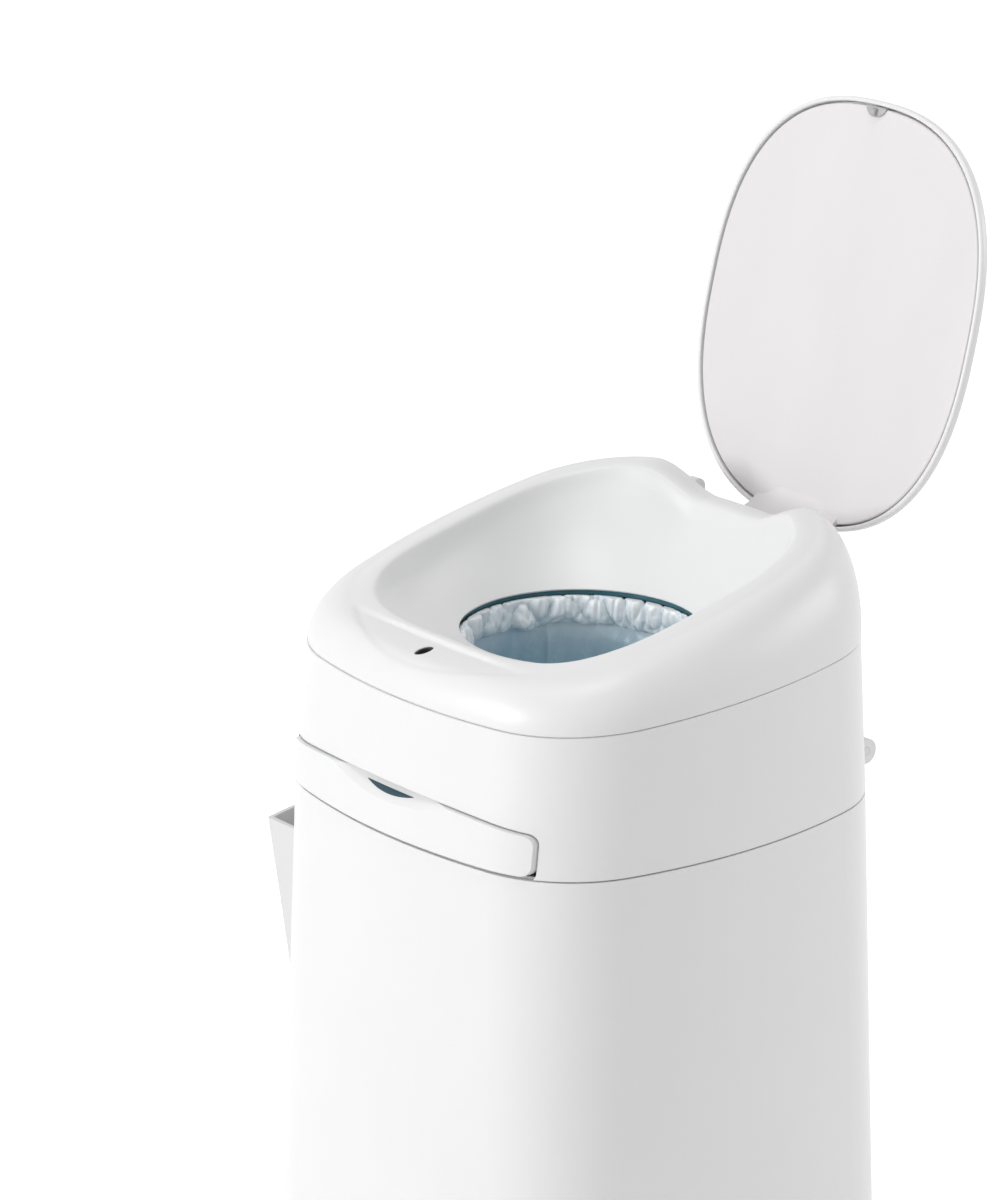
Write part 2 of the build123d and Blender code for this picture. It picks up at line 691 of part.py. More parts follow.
with BuildPart() as lid_hinge_pins:
    for low, high in both_sides(HINGE_HALF - HINGE_BITE, notch_half + HINGE_EAR):
        add(rod(low, high, HINGE_Y, HINGE_H, HINGE_PIN_R))
save(lid_hinge_pins, "lid_hinge_pins")

# ------------------------------------------------------------------ the lid


def lid_face(inset):
    """The lid's outline, drawn in by an inset, in the lid's own plane."""
    return power_face(LID_HALF_W - inset, LID_HALF_L - inset, LID_POWER, LID_MID)


def lid_slab(inset, low, high):
    """Slab of the lid's outline between two distances outside its inner face."""
    with BuildPart() as form:
        with BuildSketch(LOCAL_LID.offset(-LID_RISE - high)):
            add(lid_face(inset))
        extrude(amount=high - low)
    return form.part


with BuildPart() as lid_shell:
    add(lid_slab(0, 0, LID_T))
    outer_edge = lid_shell.edges().group_by(Axis(LOCAL_LID.origin, LOCAL_LID.z_dir))[0]
    fillet(outer_edge, LID_EDGE)
    add(lid_slab(LID_SKIN, -1, LID_T - LID_SKIN), mode=Mode.SUBTRACT)
    with BuildSketch(Plane(LOCAL_LID.origin, x_dir=LOCAL_LID.y_dir, z_dir=(1, 0, 0)).offset(-HINGE_HALF)):
        Circle(HINGE_R)
        with Locations((0, -LID_RISE / 2 - LID_SKIN)):
            Rectangle(FLANGE_T, LID_RISE + 2 * LID_SKIN)
    extrude(amount=2 * HINGE_HALF)
    for low, high in both_sides(HINGE_HALF - HINGE_BITE - GAP, HINGE_HALF + 1):
        add(rod(low, high, HINGE_Y, HINGE_H, HINGE_PIN_R + RUNNING), mode=Mode.SUBTRACT)
save(lid_shell, "lid_shell")

with BuildPart() as lid_liner:
    add(lid_slab(LID_SKIN + GAP, LINER_IN, LINER_IN + LINER_T))
    with BuildSketch(LOCAL_LID.offset(-LID_RISE - LINER_IN - LINER_T)):
        with Locations((0, 0)):
            Rectangle(2 * (HINGE_HALF + 2), 3 * FLANGE_T)
    extrude(amount=2 * LINER_T, mode=Mode.SUBTRACT)
save(lid_liner, "lid_liner")

with BuildPart() as lid_catch:
    with BuildSketch(LOCAL_LID.offset(-LID_RISE - LINER_IN + GAP / 3)):
        with Locations((0, NUB_Y)):
            Rectangle(NUB_W, NUB_W)
    extrude(amount=NUB_DEEP)
    nub_edges = lid_catch.edges().sort_by(Axis(LOCAL_LID.origin, LOCAL_LID.z_dir))
    fillet(nub_edges[-4:], NUB_R)
save(lid_catch, "lid_catch")

# --------------------------------------------------------------- the handle
front_band = band_form(-HANDLE_PROUD, HANDLE_LIFT, OPEN_TOP + 2) - band_form(
    HANDLE_T - HANDLE_PROUD, HANDLE_LIFT - 1, OPEN_TOP + 3
)
handle_outline = through_front(opening(HANDLE_GAP, HANDLE_LIFT))
handle_panel = front_band & handle_outline
grip_band = band_form(HANDLE_T / 2 - HANDLE_PROUD, HANDLE_LIFT, OPEN_TOP + 2) - band_form(
    GRIP_T - HANDLE_PROUD, HANDLE_LIFT - 1, OPEN_TOP + 3
)
bevel_r = (BEVEL_HALF**2 + BEVEL_DEEP**2) / (2 * BEVEL_DEEP)
lean = math.radians(BEVEL_LEAN)
bevel_plane = Plane(
    origin=(0, -HALF_D - HANDLE_PROUD, SEAM_Z + OPEN_TOP - HANDLE_GAP - BEVEL_DEEP),
    x_dir=(1, 0, 0),
    z_dir=(0, -math.cos(lean), -math.sin(lean)),
)


def bevel_bar(grow):
    """Slanting round bar that cuts the finger bevel, its radius grown by a wall."""
    with BuildPart() as form:
        with BuildSketch(bevel_plane.offset(-4 * GRIP_T)):
            with Locations((0, bevel_r)):
                Circle(bevel_r + grow)
        extrude(amount=8 * GRIP_T)
    return form.part


grip_ledge = grip_band & handle_outline & bevel_bar(HANDLE_T)
bar_front = block(-BAR_HALF, BAR_HALF, BAR_FRONT, BAR_FRONT + BAR_T, BAR_LOW, BAR_TOP)
boss_mid = (BAR_LOW + BAR_TOP) / 2
with BuildPart() as pull_handle:
    with BuildSketch(Plane.XZ.offset(-BAR_FRONT)):
        with Locations(*[(side * HANDLE_BOSS_X, SEAM_Z + boss_mid) for side in (-1, 1)]):
            Circle(HANDLE_BOSS_R)
            Circle(SCREW_R + RUNNING, mode=Mode.SUBTRACT)
    extrude(amount=HALF_D)
    add(band_form(HANDLE_T / 2 - HANDLE_PROUD, 0, OPEN_TOP), mode=Mode.INTERSECT)
    add(handle_panel)
    add(grip_ledge)
    add(bevel_bar(0), mode=Mode.SUBTRACT)
save(pull_handle, "pull_handle")

with BuildPart() as slide_frame:
    add(bar_front)
    for low, high in both_sides(BAR_HALF - ARM_T, BAR_HALF):
        add(block(low, high, BAR_FRONT, BUSH_Y + BUSH_LEN, BAR_LOW, BAR_TOP))
    for low, high in both_sides(BAR_HALF - ARM_T, ROD_X + BUSH_R + BUSH_WALL):
        add(block(low, high, BUSH_Y, BUSH_Y + BUSH_LEN, BAR_LOW, BAR_TOP))
    with BuildSketch(Plane.XZ.offset(-BUSH_Y - BUSH_LEN - 1)):
        with Locations((-ROD_X, SEAM_Z + ROD_Z), (ROD_X, SEAM_Z + ROD_Z)):
            Circle(BUSH_R + RUNNING)
    extrude(amount=BUSH_LEN + 2, mode=Mode.SUBTRACT)
    with BuildSketch(Plane.XZ.offset(-BAR_FRONT)):
        with Locations(*[(side * HANDLE_BOSS_X, SEAM_Z + boss_mid) for side in (-1, 1)]):
            Circle(SCREW_R + RUNNING)
    extrude(amount=-BAR_T, mode=Mode.SUBTRACT)
save(slide_frame, "slide_frame")

with BuildPart() as handle_screws:
    for side in (-1, 1):
        place = (side * HANDLE_BOSS_X, SEAM_Z + boss_mid)
        with BuildSketch(Plane.XZ.offset(-BAR_FRONT - BAR_T)):
            with Locations(place):
                Circle(SCREW_R)
        extrude(amount=BAR_T + HANDLE_SCREW_BITE)
        with BuildSketch(Plane.XZ.offset(-BAR_FRONT - BAR_T)):
            with Locations(place):
                Circle(SCREW_HEAD_R)
        extrude(amount=-SCREW_HEAD_T)
save(handle_screws, "handle_screws")

with BuildPart() as slide_bushes:
    with BuildSketch(Plane.XZ.offset(-BUSH_Y - BUSH_LEN)):
        with Locations((-ROD_X, SEAM_Z + ROD_Z), (ROD_X, SEAM_Z + ROD_Z)):
            Circle(BUSH_R)
            Circle(ROD_R + RUNNING, mode=Mode.SUBTRACT)
    extrude(amount=BUSH_LEN)
save(slide_bushes, "slide_bushes")

# ----------------------------------------------------------------- the jaws
JAW_FACE = FILM_HALF_GAP + PAD_T
BAR_BACK = BAR_FRONT + BAR_T


def jaw(face_y, foot_y, foot_low):
    """Upright jaw with a foot behind it and ribs between the two."""
    way = math.copysign(1, foot_y - face_y)
    back = face_y + way * JAW_T
    low, high = sorted((face_y, back))
    foot = sorted((face_y, foot_y))
    with BuildPart() as form:
        add(block(-JAW_HALF, JAW_HALF, low, high, foot_low, JAW_TOP))
        add(block(-JAW_HALF, JAW_HALF, foot[0], foot[1], foot_low, JAW_LOW + JAW_FOOT))
        for x in (-JAW_HALF, -JAW_HALF / 3, JAW_HALF / 3, JAW_HALF - JAW_RIB):
            with BuildSketch(Plane.YZ.offset(x)):
                with BuildLine():
                    Polyline(
                        (back - way, SEAM_Z + JAW_LOW + JAW_RIB),
                        (foot_y, SEAM_Z + JAW_LOW + JAW_RIB),
                        (back - way, SEAM_Z + JAW_TOP - JAW_RIB),
                        close=True,
                    )
                make_face()
            extrude(amount=JAW_RIB)
    return form.part


with BuildPart() as moving_jaw:
    add(jaw(-JAW_FACE, BAR_BACK, JAW_LOW))
save(moving_jaw, "moving_jaw")

with BuildPart() as fixed_jaw:
    add(jaw(JAW_FACE, JAW_DEPTH, BASE_HIGH))
save(fixed_jaw, "fixed_jaw")

for name, way in (("moving_jaw_pad", -1), ("fixed_jaw_pad", 1)):
    pad_low, pad_high = sorted((way * FILM_HALF_GAP, way * JAW_FACE))
    with BuildPart() as jaw_pad:
        add(block(-JAW_HALF + PAD_IN, JAW_HALF - PAD_IN, pad_low, pad_high, PAD_LOW, PAD_TOP))
        pad_edges = jaw_pad.edges().filter_by(Axis.X).sort_by(Axis.Y)
        fillet(pad_edges[-2:] if way < 0 else pad_edges[:2], PAD_T / 3)
    save(jaw_pad, name)

# --------------------------------------------------------- the clamp's body
base_solid = band_form(CLAMP_IN, BASE_LOW, BASE_HIGH)
drop_gap = block(
    -JAW_HALF + PAD_IN, JAW_HALF - PAD_IN, -TRAVEL - JAW_FACE, JAW_FACE, BASE_LOW - CUT, BASE_HIGH + CUT
)
POSTS = [(side * POST_X, end * POST_Y) for side in (-1, 1) for end in (-1, 1)]

with BuildPart() as clamp_base:
    add(base_solid)
    add(drop_gap, mode=Mode.SUBTRACT)
    for side in (-1, 1):
        x = side * ROD_X
        for y in (ROD_FRONT, ROD_REAR - BOSS_T):
            add(block(x - BOSS_T, x + BOSS_T, y, y + BOSS_T, BASE_LOW, ROD_Z + BOSS_T))
    with BuildSketch(Plane.XY.offset(SEAM_Z + BASE_LOW)):
        with Locations(*POSTS):
            Circle(POST_R)
    extrude(amount=COVER_LOW - BASE_LOW)
    with BuildSketch(Plane.XY.offset(SEAM_Z + COVER_LOW)):
        with Locations(*POSTS):
            Circle(SCREW_R + RUNNING)
    extrude(amount=-COVER_LOW / 2, mode=Mode.SUBTRACT)
    with BuildSketch(Plane.XZ.offset(-ROD_REAR - 1)):
        with Locations((-ROD_X, SEAM_Z + ROD_Z), (ROD_X, SEAM_Z + ROD_Z)):
            Circle(ROD_R + RUNNING)
    extrude(amount=ROD_REAR - ROD_FRONT + 2, mode=Mode.SUBTRACT)
save(clamp_base, "clamp_base")

with BuildPart() as guide_rods:
    with BuildSketch(Plane.XZ.offset(-ROD_REAR)):
        with Locations((-ROD_X, SEAM_Z + ROD_Z), (ROD_X, SEAM_Z + ROD_Z)):
            Circle(ROD_R)
    extrude(amount=ROD_REAR - ROD_FRONT)
save(guide_rods, "guide_rods")

with BuildPart() as return_springs:
    with BuildSketch(Plane.XZ.offset(-BUSH_Y + GAP)):
        with Locations((-ROD_X, SEAM_Z + ROD_Z), (ROD_X, SEAM_Z + ROD_Z)):
            Circle(SPRING_R + SPRING_WIRE)
            Circle(SPRING_R - SPRING_WIRE, mode=Mode.SUBTRACT)
    extrude(amount=BUSH_Y - ROD_FRONT - BOSS_T - 2 * GAP)
save(return_springs, "return_springs")

grip_room = band_form(0, COVER_LOW - CUT, COVER_HIGH + CUT) - band_form(
    GRIP_T - HANDLE_PROUD + SEAM_GAP, COVER_LOW - 2 * CUT, COVER_HIGH + 2 * CUT
)
grip_room = grip_room & block(
    -OPEN_HALF, OPEN_HALF, -2 * HALF_D, 0, COVER_LOW - CUT, COVER_HIGH + CUT
)

with BuildPart() as clamp_cover:
    add(band_form(WALL + LIP_GAP, COVER_LOW, COVER_HIGH))
    add(grip_room, mode=Mode.SUBTRACT)
    with BuildSketch(Plane.XY.offset(SEAM_Z + COVER_LOW - CUT)):
        Circle(FILM_R + GAP)
    extrude(amount=COVER_HIGH - COVER_LOW + 2 * CUT, mode=Mode.SUBTRACT)
    with BuildSketch(Plane.XY.offset(SEAM_Z + COVER_LOW)):
        with Locations(*(POSTS + MOUNTS)):
            Circle(SCREW_R + RUNNING)
    extrude(amount=COVER_HIGH - COVER_LOW, mode=Mode.SUBTRACT)
save(clamp_cover, "clamp_cover")

with BuildPart() as clamp_screws:
    with BuildSketch(Plane.XY.offset(SEAM_Z + COVER_HIGH)):
        with Locations(*POSTS):
            Circle(SCREW_HEAD_R)
    extrude(amount=SCREW_HEAD_T)
    with BuildSketch(Plane.XY.offset(SEAM_Z + COVER_HIGH)):
        with Locations(*POSTS):
            Circle(SCREW_R)
    extrude(amount=-COVER_LOW / 2)
save(clamp_screws, "clamp_screws")

with BuildPart() as mounting_screws:
    with BuildSketch(Plane.XY.offset(SEAM_Z + COVER_LOW)):
        with Locations(*MOUNTS):
            Circle(SCREW_HEAD_R)
    extrude(amount=-SCREW_HEAD_T)
    with BuildSketch(Plane.XY.offset(SEAM_Z + COVER_LOW)):
        with Locations(*MOUNTS):
            Circle(SCREW_R)
    extrude(amount=COVER_HIGH - COVER_LOW + MOUNT_BITE)
save(mounting_screws, "mounting_screws")

# ------------------------------------------------------------- the cassette
with BuildPart() as cassette_tub:
    add(ring(TUB_INNER_R, TUB_R, TUB_BOTTOM, TUB_BOTTOM + TUB_WALL))
    add(ring(TUB_INNER_R, TUB_INNER_R + TUB_WALL, TUB_BOTTOM, TUB_INNER_TOP))
    add(ring(TUB_R - TUB_WALL, TUB_R, TUB_BOTTOM, TUB_TOP))
save(cassette_tub, "cassette_tub")

with BuildPart() as cassette_cap:
    add(ring(CAP_R, TUB_R, CAP_LOW, CAP_HIGH))
    add(ring(TUB_R - TUB_WALL, TUB_R, TUB_TOP, CAP_LOW))
    add(ring(TUB_R - 2 * TUB_WALL - GAP, TUB_R - TUB_WALL - GAP, TUB_TOP - CAP_SPIGOT, CAP_LOW))
save(cassette_cap, "cassette_cap")

with BuildPart() as film_pack:
    add(ring(
        TUB_INNER_R + TUB_WALL + PACK_GAP,
        TUB_R - 3 * TUB_WALL,
        TUB_BOTTOM + TUB_WALL + GAP,
        TUB_INNER_TOP - PACK_GAP,
    ))
    fillet(film_pack.edges(), PACK_R)
save(film_pack, "film_pack")

with BuildPart() as film_sleeve:
    add(ring(FILM_R - FILM_T, FILM_R, FILM_FOLD - FILM_T, FILM_TOP))
    add(ring(GAP, FILM_R, FILM_FOLD - FILM_T, FILM_FOLD))
    add(block(-NECK_HALF / 2, NECK_HALF / 2, -GAP, GAP, NECK_LOW, FILM_FOLD - FILM_T / 2))
    add(block(-NECK_HALF, NECK_HALF, -GAP, GAP, NECK_LOW, PAD_TOP))
save(film_sleeve, "film_sleeve")

# ------------------------------------------------------------------ the bag
with BuildPart() as film_bag:
    for height, half_w, half_d in (
        (NECK_LOW, NECK_HALF, NECK_HALF_D),
        (BAG_WIDE, BAG_HALF_W, BAG_HALF_D),
        (BAG_TAPER, TAPER_HALF_W, TAPER_HALF_D),
        (BAG_LOW, BAG_TIP_R, BAG_TIP_R),
    ):
        with BuildSketch(Plane.XY.offset(SEAM_Z + height)):
            add(power_face(half_w, half_d, 2.0))
    loft()
save(film_bag, "film_bag")

with BuildPart() as bag_knot:
    with Locations((0, 0, SEAM_Z + BAG_LOW - KNOT_DROP)):
        Sphere(KNOT_R)
    add(block(-BAG_HALF_W, BAG_HALF_W, -HALF_D, HALF_D, BAG_LOW, 0), mode=Mode.SUBTRACT)
save(bag_knot, "bag_knot")

# --------------------------------------------------------------- the cutter
slot_end = CUTTER_X + CUTTER_W / 2
cutter_low = BASE_LOW - CUTTER_H
slot_low = cutter_low + (CUTTER_H - CUTTER_SLOT) / 2
with BuildPart() as cutter_body:
    add(block(
        CUTTER_X - CUTTER_W / 2, slot_end, CUTTER_Y - CUTTER_D / 2, CUTTER_Y + CUTTER_D / 2,
        cutter_low, BASE_LOW,
    ))
    fillet(cutter_body.edges().filter_by(Axis.Z), CUTTER_R)
    add(block(
        slot_end - CUTTER_SLOT_DEEP, slot_end + 1, CUTTER_Y - CUTTER_D, CUTTER_Y + CUTTER_D,
        slot_low, slot_low + CUTTER_SLOT,
    ), mode=Mode.SUBTRACT)
save(cutter_body, "cutter_body")

blade_x = slot_end - CUTTER_SLOT_DEEP + GAP
with BuildPart() as cutter_blade:
    with BuildSketch(Plane.XZ.offset(-CUTTER_Y - BLADE_T / 2)):
        with BuildLine():
            Polyline(
                (blade_x, SEAM_Z + slot_low + GAP / 2),
                (blade_x + BLADE_LEN, SEAM_Z + slot_low + GAP / 2),
                (blade_x, SEAM_Z + slot_low + CUTTER_SLOT - GAP / 2),
                close=True,
            )
        make_face()
    extrude(amount=BLADE_T)
save(cutter_blade, "cutter_blade")
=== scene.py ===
from functools import cache
from math import atan2, cos, hypot, pi, radians, sin, sqrt

import bmesh
import bpy
import numpy as np
from bpy.props import FloatProperty, IntProperty, PointerProperty
from mathutils import Matrix, Vector


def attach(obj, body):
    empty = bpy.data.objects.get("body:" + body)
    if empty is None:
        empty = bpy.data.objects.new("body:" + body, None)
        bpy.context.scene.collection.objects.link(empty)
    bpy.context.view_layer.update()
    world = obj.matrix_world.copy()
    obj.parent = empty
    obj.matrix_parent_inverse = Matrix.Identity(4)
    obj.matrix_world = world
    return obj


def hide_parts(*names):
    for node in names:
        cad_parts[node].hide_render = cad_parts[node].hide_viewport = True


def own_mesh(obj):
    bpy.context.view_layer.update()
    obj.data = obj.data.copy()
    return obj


bl_info = {
    "name": "Litter disposal pail",
    "version": (1, 0, 0),
    "blender": (4, 5, 0),
    "location": "View3D > Sidebar > Pail",
    "description": "Moulded shells, film, springs and finishes of a litter disposal pail",
    "category": "Object",
}

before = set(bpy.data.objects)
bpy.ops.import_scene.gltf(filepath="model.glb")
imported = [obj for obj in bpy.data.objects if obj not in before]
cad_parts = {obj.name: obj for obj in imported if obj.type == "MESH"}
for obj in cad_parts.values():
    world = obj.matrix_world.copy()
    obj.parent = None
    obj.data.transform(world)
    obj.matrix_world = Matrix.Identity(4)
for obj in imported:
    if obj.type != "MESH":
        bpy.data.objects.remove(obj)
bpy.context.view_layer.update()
MM = 0.001
SHARP = 35.0  # edges above this angle, in degrees, stay crisp

# ---- sizes in millimetres
# X runs to the right, -Y to the front, and heights are measured from the seam
# between bucket and head unless they say otherwise.
SEAM = 290.0
FRONT_ARC, SIDE_ARC = 307.0, 258.0  # radii of the bulged faces
CORNER = 57.0  # radius of the upright corners
BAND_H, BAND_SLOPE = 68.0, 0.058  # top of the band, and its rise to the rear
BAND_TOP = (112.3, 106.05, 1.75)  # half width, half depth and shift of its top
RIM_H, RIM_SLOPE = 101.3, 0.228  # the funnel's rim, and its rise to the rear
DIP = 12.5  # the rim dips this far at the lid's hinge
DIP_FLAT, DIP_HALF = 16.0, 54.0  # half the width of its floor, and with its flanks
DIP_START, DIP_END = 48.0, 88.0
CREST = 1.5  # the rim's crest stands this far above its plane
WALL = 2.6
SEAM_GAP, SEAM_DEEP = 0.35, 0.5  # height and depth of the groove under the cover
MOUTH = (83.5, -77.5, 86.0)  # half width, front and rear of the crest
MOUTH_POWER = (3.5, 2.9)  # its exponent at the front and at the rear
WAIST = (68.0, -62.0, 71.0)
WAIST_POWER = (2.4, 2.4)
WAIST_H, WAIST_SLOPE = 83.0, 0.11
THROAT_R, THROAT_H = 53.75, 72.0
MOUTH_EASE = (46.0, 30.0)  # from here to the front, over this run, its edge softens
MOUTH_EDGE = (  # rings inside the crest: run inward, drop, drop where steep
    (1.6, 0.6, 0.6), (4.0, 1.6, 5.4), (7.5, 3.2, 9.0))
THROAT_WALL, THIN_ROWS = 0.8, 12  # the wall thins to this at the throat, over so many rows
RECESS_BACK, RECESS_FRONT, RECESS_HALF = -79.5, -99.5, 62.0
RECESS_EDGE, RECESS_RUN, RECESS_STEP = 1.5, 22.0, 1.4  # its front edge, its slope, its rear step
LATCH_Y, LATCH_SLOPE = -88.4, 0.14  # the latch hole, and the slope of the recess there
LATCH_W, LATCH_L = 2.8, 4.8  # half its width and length
LATCH_DEEP = 9.0  # the hole's cutter reaches this far up and down
GRIP_Y, GRIP_H = -113.3, 14.9  # lowest point of the finger bevel in the handle
GRIP_LEAN = radians(42.0)  # the bevel above the horizontal
GRIP_R = 308.7  # radius across the bevel
GRIP_HALF, GRIP_LOW, GRIP_TOP = 16.0, 5.6, 8.6  # the dark teal lens on it, which stands for the slot and the clamp's teal in painted shade
NOTCH_HALF, NOTCH_FRONT, NOTCH_FLOOR = 38.3, 96.5, 95.5
HINGE_Y, HINGE_H = 103.7, 101.6
EAR_W, EAR_R, EAR_TALL = 6.0, 5.5, 6.0
BARREL_HALF, BARREL_R = 38.0, 4.5
FLAP_Y = 112.3
FLAP_H = BAND_H + BAND_SLOPE * FLAP_Y
FLAP_R, FLAP_KNUCKLE_IN, FLAP_KNUCKLE = 4.0, 29.0, 10.0
FLAP_WEB, FLAP_REACH = 8.0, 7.2  # the web that joins the knuckles to the cover
LID_SLOPE = radians(75.95)  # the open lid above the horizontal
LID_W, LID_L, LID_POWER, LID_MID = 87.0, 98.3, 2.5, 98.0
LID_FACE, LID_T = 24.2, 8.0  # the rim's height off the hinge, and the lid's depth
LID_WALL, LID_LIP = 2.2, 1.3  # the tray's wall, and the rounding of its rim
LINER_OUT, LINER_IN = 3.2, 5.0  # insets of the liner's edge and of its inner wall
LINER_FACE, LINER_BACK = 0.8, 2.6  # how far its two faces lie under the rim
FLANGE_HALF, FLANGE_FLARE = 25.0, 2.0
FLANGE_T, FLANGE_SINK = 2.4, 2.2  # its thickness, and how far its sides sink under the liner
FLANGE_LINE = (  # its control points: along the lid, and off the hinge
    (1.0, 2.0), (-1.5, 18.0), (2.0, LID_FACE - 0.6), (15.5, LID_FACE + 0.95))
CATCH_TIP, CATCH_HALF, CATCH_LONG = 193.6, 6.5, 5.0
CATCH_FACE = LID_FACE + 0.9
NUB_AT, NUB_HALF = 190.9, 1.5
FILM_R, FILM_TOP, FILM_FOLD = 56.2, 68.6, 22.0
FROTH_IN, FROTH_HALF = 3.6, 6.0  # the gathered band's bulge and half its height
FROTH_GIRTH = 14.0  # length of its section
PUFFS, PUFF_H = (16.0, 8.0, 3.0), 0.9  # lengths of its puffs, and their height
WANDER, FOLDS = 26.0, (30.0, 13.0, 6.0)  # lengths of its waves, and of the ring's folds
LAP_TURN = 156.0  # here one layer of the film ends over the next, in degrees
NECK_HALF, NECK_LOW = 66.0, -12.0
BAG_LOW, BAG_HALF_W, BAG_HALF_D = -132.0, 50.0, 36.0
BAG_TOP_HALF, BAG_END_HALF = 0.5, 5.0
BAG_CREASE = 0.012
KNOT_R = 10.0
PACK_IN, PACK_OUT, PACK_LOW, PACK_HIGH = 61.2, 88.6, 27.4, 62.0
PLEATS, PLEAT, PLEAT_WAVE = 34, 1.6, 0.35  # number and depth of the pleats, and their waviness
ROD_X, ROD_Z = 86.0, 10.0
SPRING_R, SPRING_WIRE = 4.6, 0.6
SPRING_FRONT, SPRING_REAR = -73.7, 17.7
FLOOR = 6.0  # half the size of the paper sweep, in metres


# ---- properties
class PailSizes(bpy.types.PropertyGroup):
    shoulder_side: FloatProperty(
        name="Side shoulder", description="How far the funnel cover draws in at the sides",
        default=20 * MM, min=5 * MM, max=25 * MM, subtype="DISTANCE", unit="LENGTH")
    shoulder_front: FloatProperty(
        name="Front shoulder", description="How far the funnel cover draws in at the front",
        default=12 * MM, min=5 * MM, max=20 * MM, subtype="DISTANCE", unit="LENGTH")
    shoulder_rear: FloatProperty(
        name="Rear shoulder", description="How far the funnel cover draws in at the rear",
        default=14 * MM, min=5 * MM, max=16 * MM, subtype="DISTANCE", unit="LENGTH")
    recess_depth: FloatProperty(
        name="Finger recess", description="Depth of the recess at its rear edge",
        default=2.0 * MM, min=0, max=3 * MM, subtype="DISTANCE", unit="LENGTH")
    lid_round: FloatProperty(
        name="Lid edge", description="Width of the rounding of the lid's outer edge",
        default=14 * MM, min=2 * MM, max=25 * MM, subtype="DISTANCE", unit="LENGTH")
    film_fold: FloatProperty(
        name="Film folds", description="Depth of the folds in the hanging film",
        default=2.2 * MM, min=0, max=5 * MM, subtype="DISTANCE", unit="LENGTH")
    spring_turns: IntProperty(
        name="Spring turns", description="Turns of each return spring", default=24, min=8, max=40)
    seed: IntProperty(
        name="Seed", description="Pattern of the film's creases", default=7, min=0)


class PailColours(bpy.types.PropertyGroup):
    key: FloatProperty(
        name="Key light", description="Power of the key light", default=51.0, unit="POWER")
    top: FloatProperty(
        name="Top light", description="Power of the light overhead", default=9.0, unit="POWER")
    rim: FloatProperty(
        name="Rim light", description="Power of the light behind on the right",
        default=22.0, unit="POWER")
    fill: FloatProperty(
        name="Fill", description="Strength of the surrounding light",
        default=0.56, min=0, subtype="FACTOR")
    floor_lift: FloatProperty(
        name="Floor lift", description="Share of white that the floor adds where it is seen",
        default=0.55, min=0, max=1, subtype="FACTOR")


# ---- plain maths
def smooth(t):
    """Smoothstep: 0 below 0, 1 above 1, and 3t^2 - 2t^3 between."""
    t = np.clip(t, 0.0, 1.0)
    return t * t * (3 - 2 * t)


def oval_reach(turn, half_w, half_d, power):
    """Distance from the centre of |x/w|^p + |y/d|^p = 1 in the direction of an angle."""
    terms = np.abs(np.cos(turn) / half_w) ** power + np.abs(np.sin(turn) / half_d) ** power
    return terms ** (-1 / power)


def ring_turns(count):
    """Angles of evenly spaced points round a ring."""
    return 2 * pi * np.arange(count) / count


def spread(x, y, z):
    """Points from coordinates that are first spread to one shape."""
    return np.stack(np.broadcast_arrays(x, y, z), -1)


def unit(vectors):
    """Vectors brought to a length of one."""
    return vectors / (np.linalg.norm(vectors, axis=-1, keepdims=True) + 1e-12)


def rings_of(profile):
    """The columns of a profile, shaped to meet the angles round a ring."""
    return np.array(profile, float).T[:, :, None]


def round_ring(turn, radius, height):
    """Points round the vertical axis."""
    return spread(radius * np.cos(turn), radius * np.sin(turn), height)


def plan_ring(half_w, half_d, shift, inset=0.0):
    """Ring of 376 points: four bulged arcs joined by corner arcs, each tangent to the next.

    It starts at the middle of the front and runs to the right. A quarter is worked out from
    its three arcs, and mirrored.
    """
    side_x, front_y = half_w - SIDE_ARC, FRONT_ARC - half_d
    span = hypot(side_x, front_y)
    near, far = FRONT_ARC - CORNER, SIDE_ARC - CORNER
    along = (near ** 2 - far ** 2 + span ** 2) / (2 * span)
    off = sqrt(near ** 2 - along ** 2)
    across = (side_x / span, -front_y / span)
    corner = (along * across[0] - off * across[1], front_y + along * across[1] + off * across[0])
    turn_a = atan2(corner[0], front_y - corner[1])
    turn_b = atan2(corner[0] - side_x, -corner[1])
    arcs = (
        (0.0, front_y, FRONT_ARC, 0.0, turn_a, 44),
        (corner[0], corner[1], CORNER, turn_a, turn_b, 24),
        (side_x, 0.0, SIDE_ARC, turn_b, pi / 2, 26),
    )
    parts = []
    for x, y, radius, start, end, steps in arcs:
        turn = start + (end - start) * np.arange(steps) / steps
        reach = radius - inset
        parts.append(np.stack([x + reach * np.sin(turn), y - reach * np.cos(turn)], 1))
    quarter = np.concatenate([*parts, [[half_w - inset, 0.0]]])
    right = np.concatenate([quarter, (quarter * (1, -1))[-2::-1]])
    return np.concatenate([right, (right * (-1, 1))[-2:0:-1]]) + (0, shift)


def spline_weights(count, steps):
    """Weights of a clamped cubic B-spline: a row for each step, a column for each control point.

    The weights of each degree are blended into those of the next.
    """
    inner = np.arange(1, count - 3)
    knots = np.concatenate([np.zeros(4), inner, np.full(4, count - 3.0)])
    t = np.linspace(0, count - 3 - 1e-9, steps)[:, None]
    weights = ((t >= knots[:-1]) & (t < knots[1:])).astype(float)
    for degree in range(1, 4):
        low, high = knots[:-degree - 1], knots[degree + 1:]
        up = knots[degree:-1] - low
        down = high - knots[1:-degree]
        rise = np.divide(t - low, up, out=np.zeros((steps, len(up))), where=up > 0)
        fall = np.divide(high - t, down, out=np.zeros((steps, len(down))), where=down > 0)
        weights = rise * weights[:, :-1] + fall * weights[:, 1:]
    return weights


def waves(turn, counts, sizes, rng):
    """Sum of cosines round a ring, each with its own count, size and random phase."""
    phases = rng.uniform(0, 2 * pi, (len(counts), 1))
    return np.array(sizes) @ np.cos(np.outer(counts, turn) + phases)


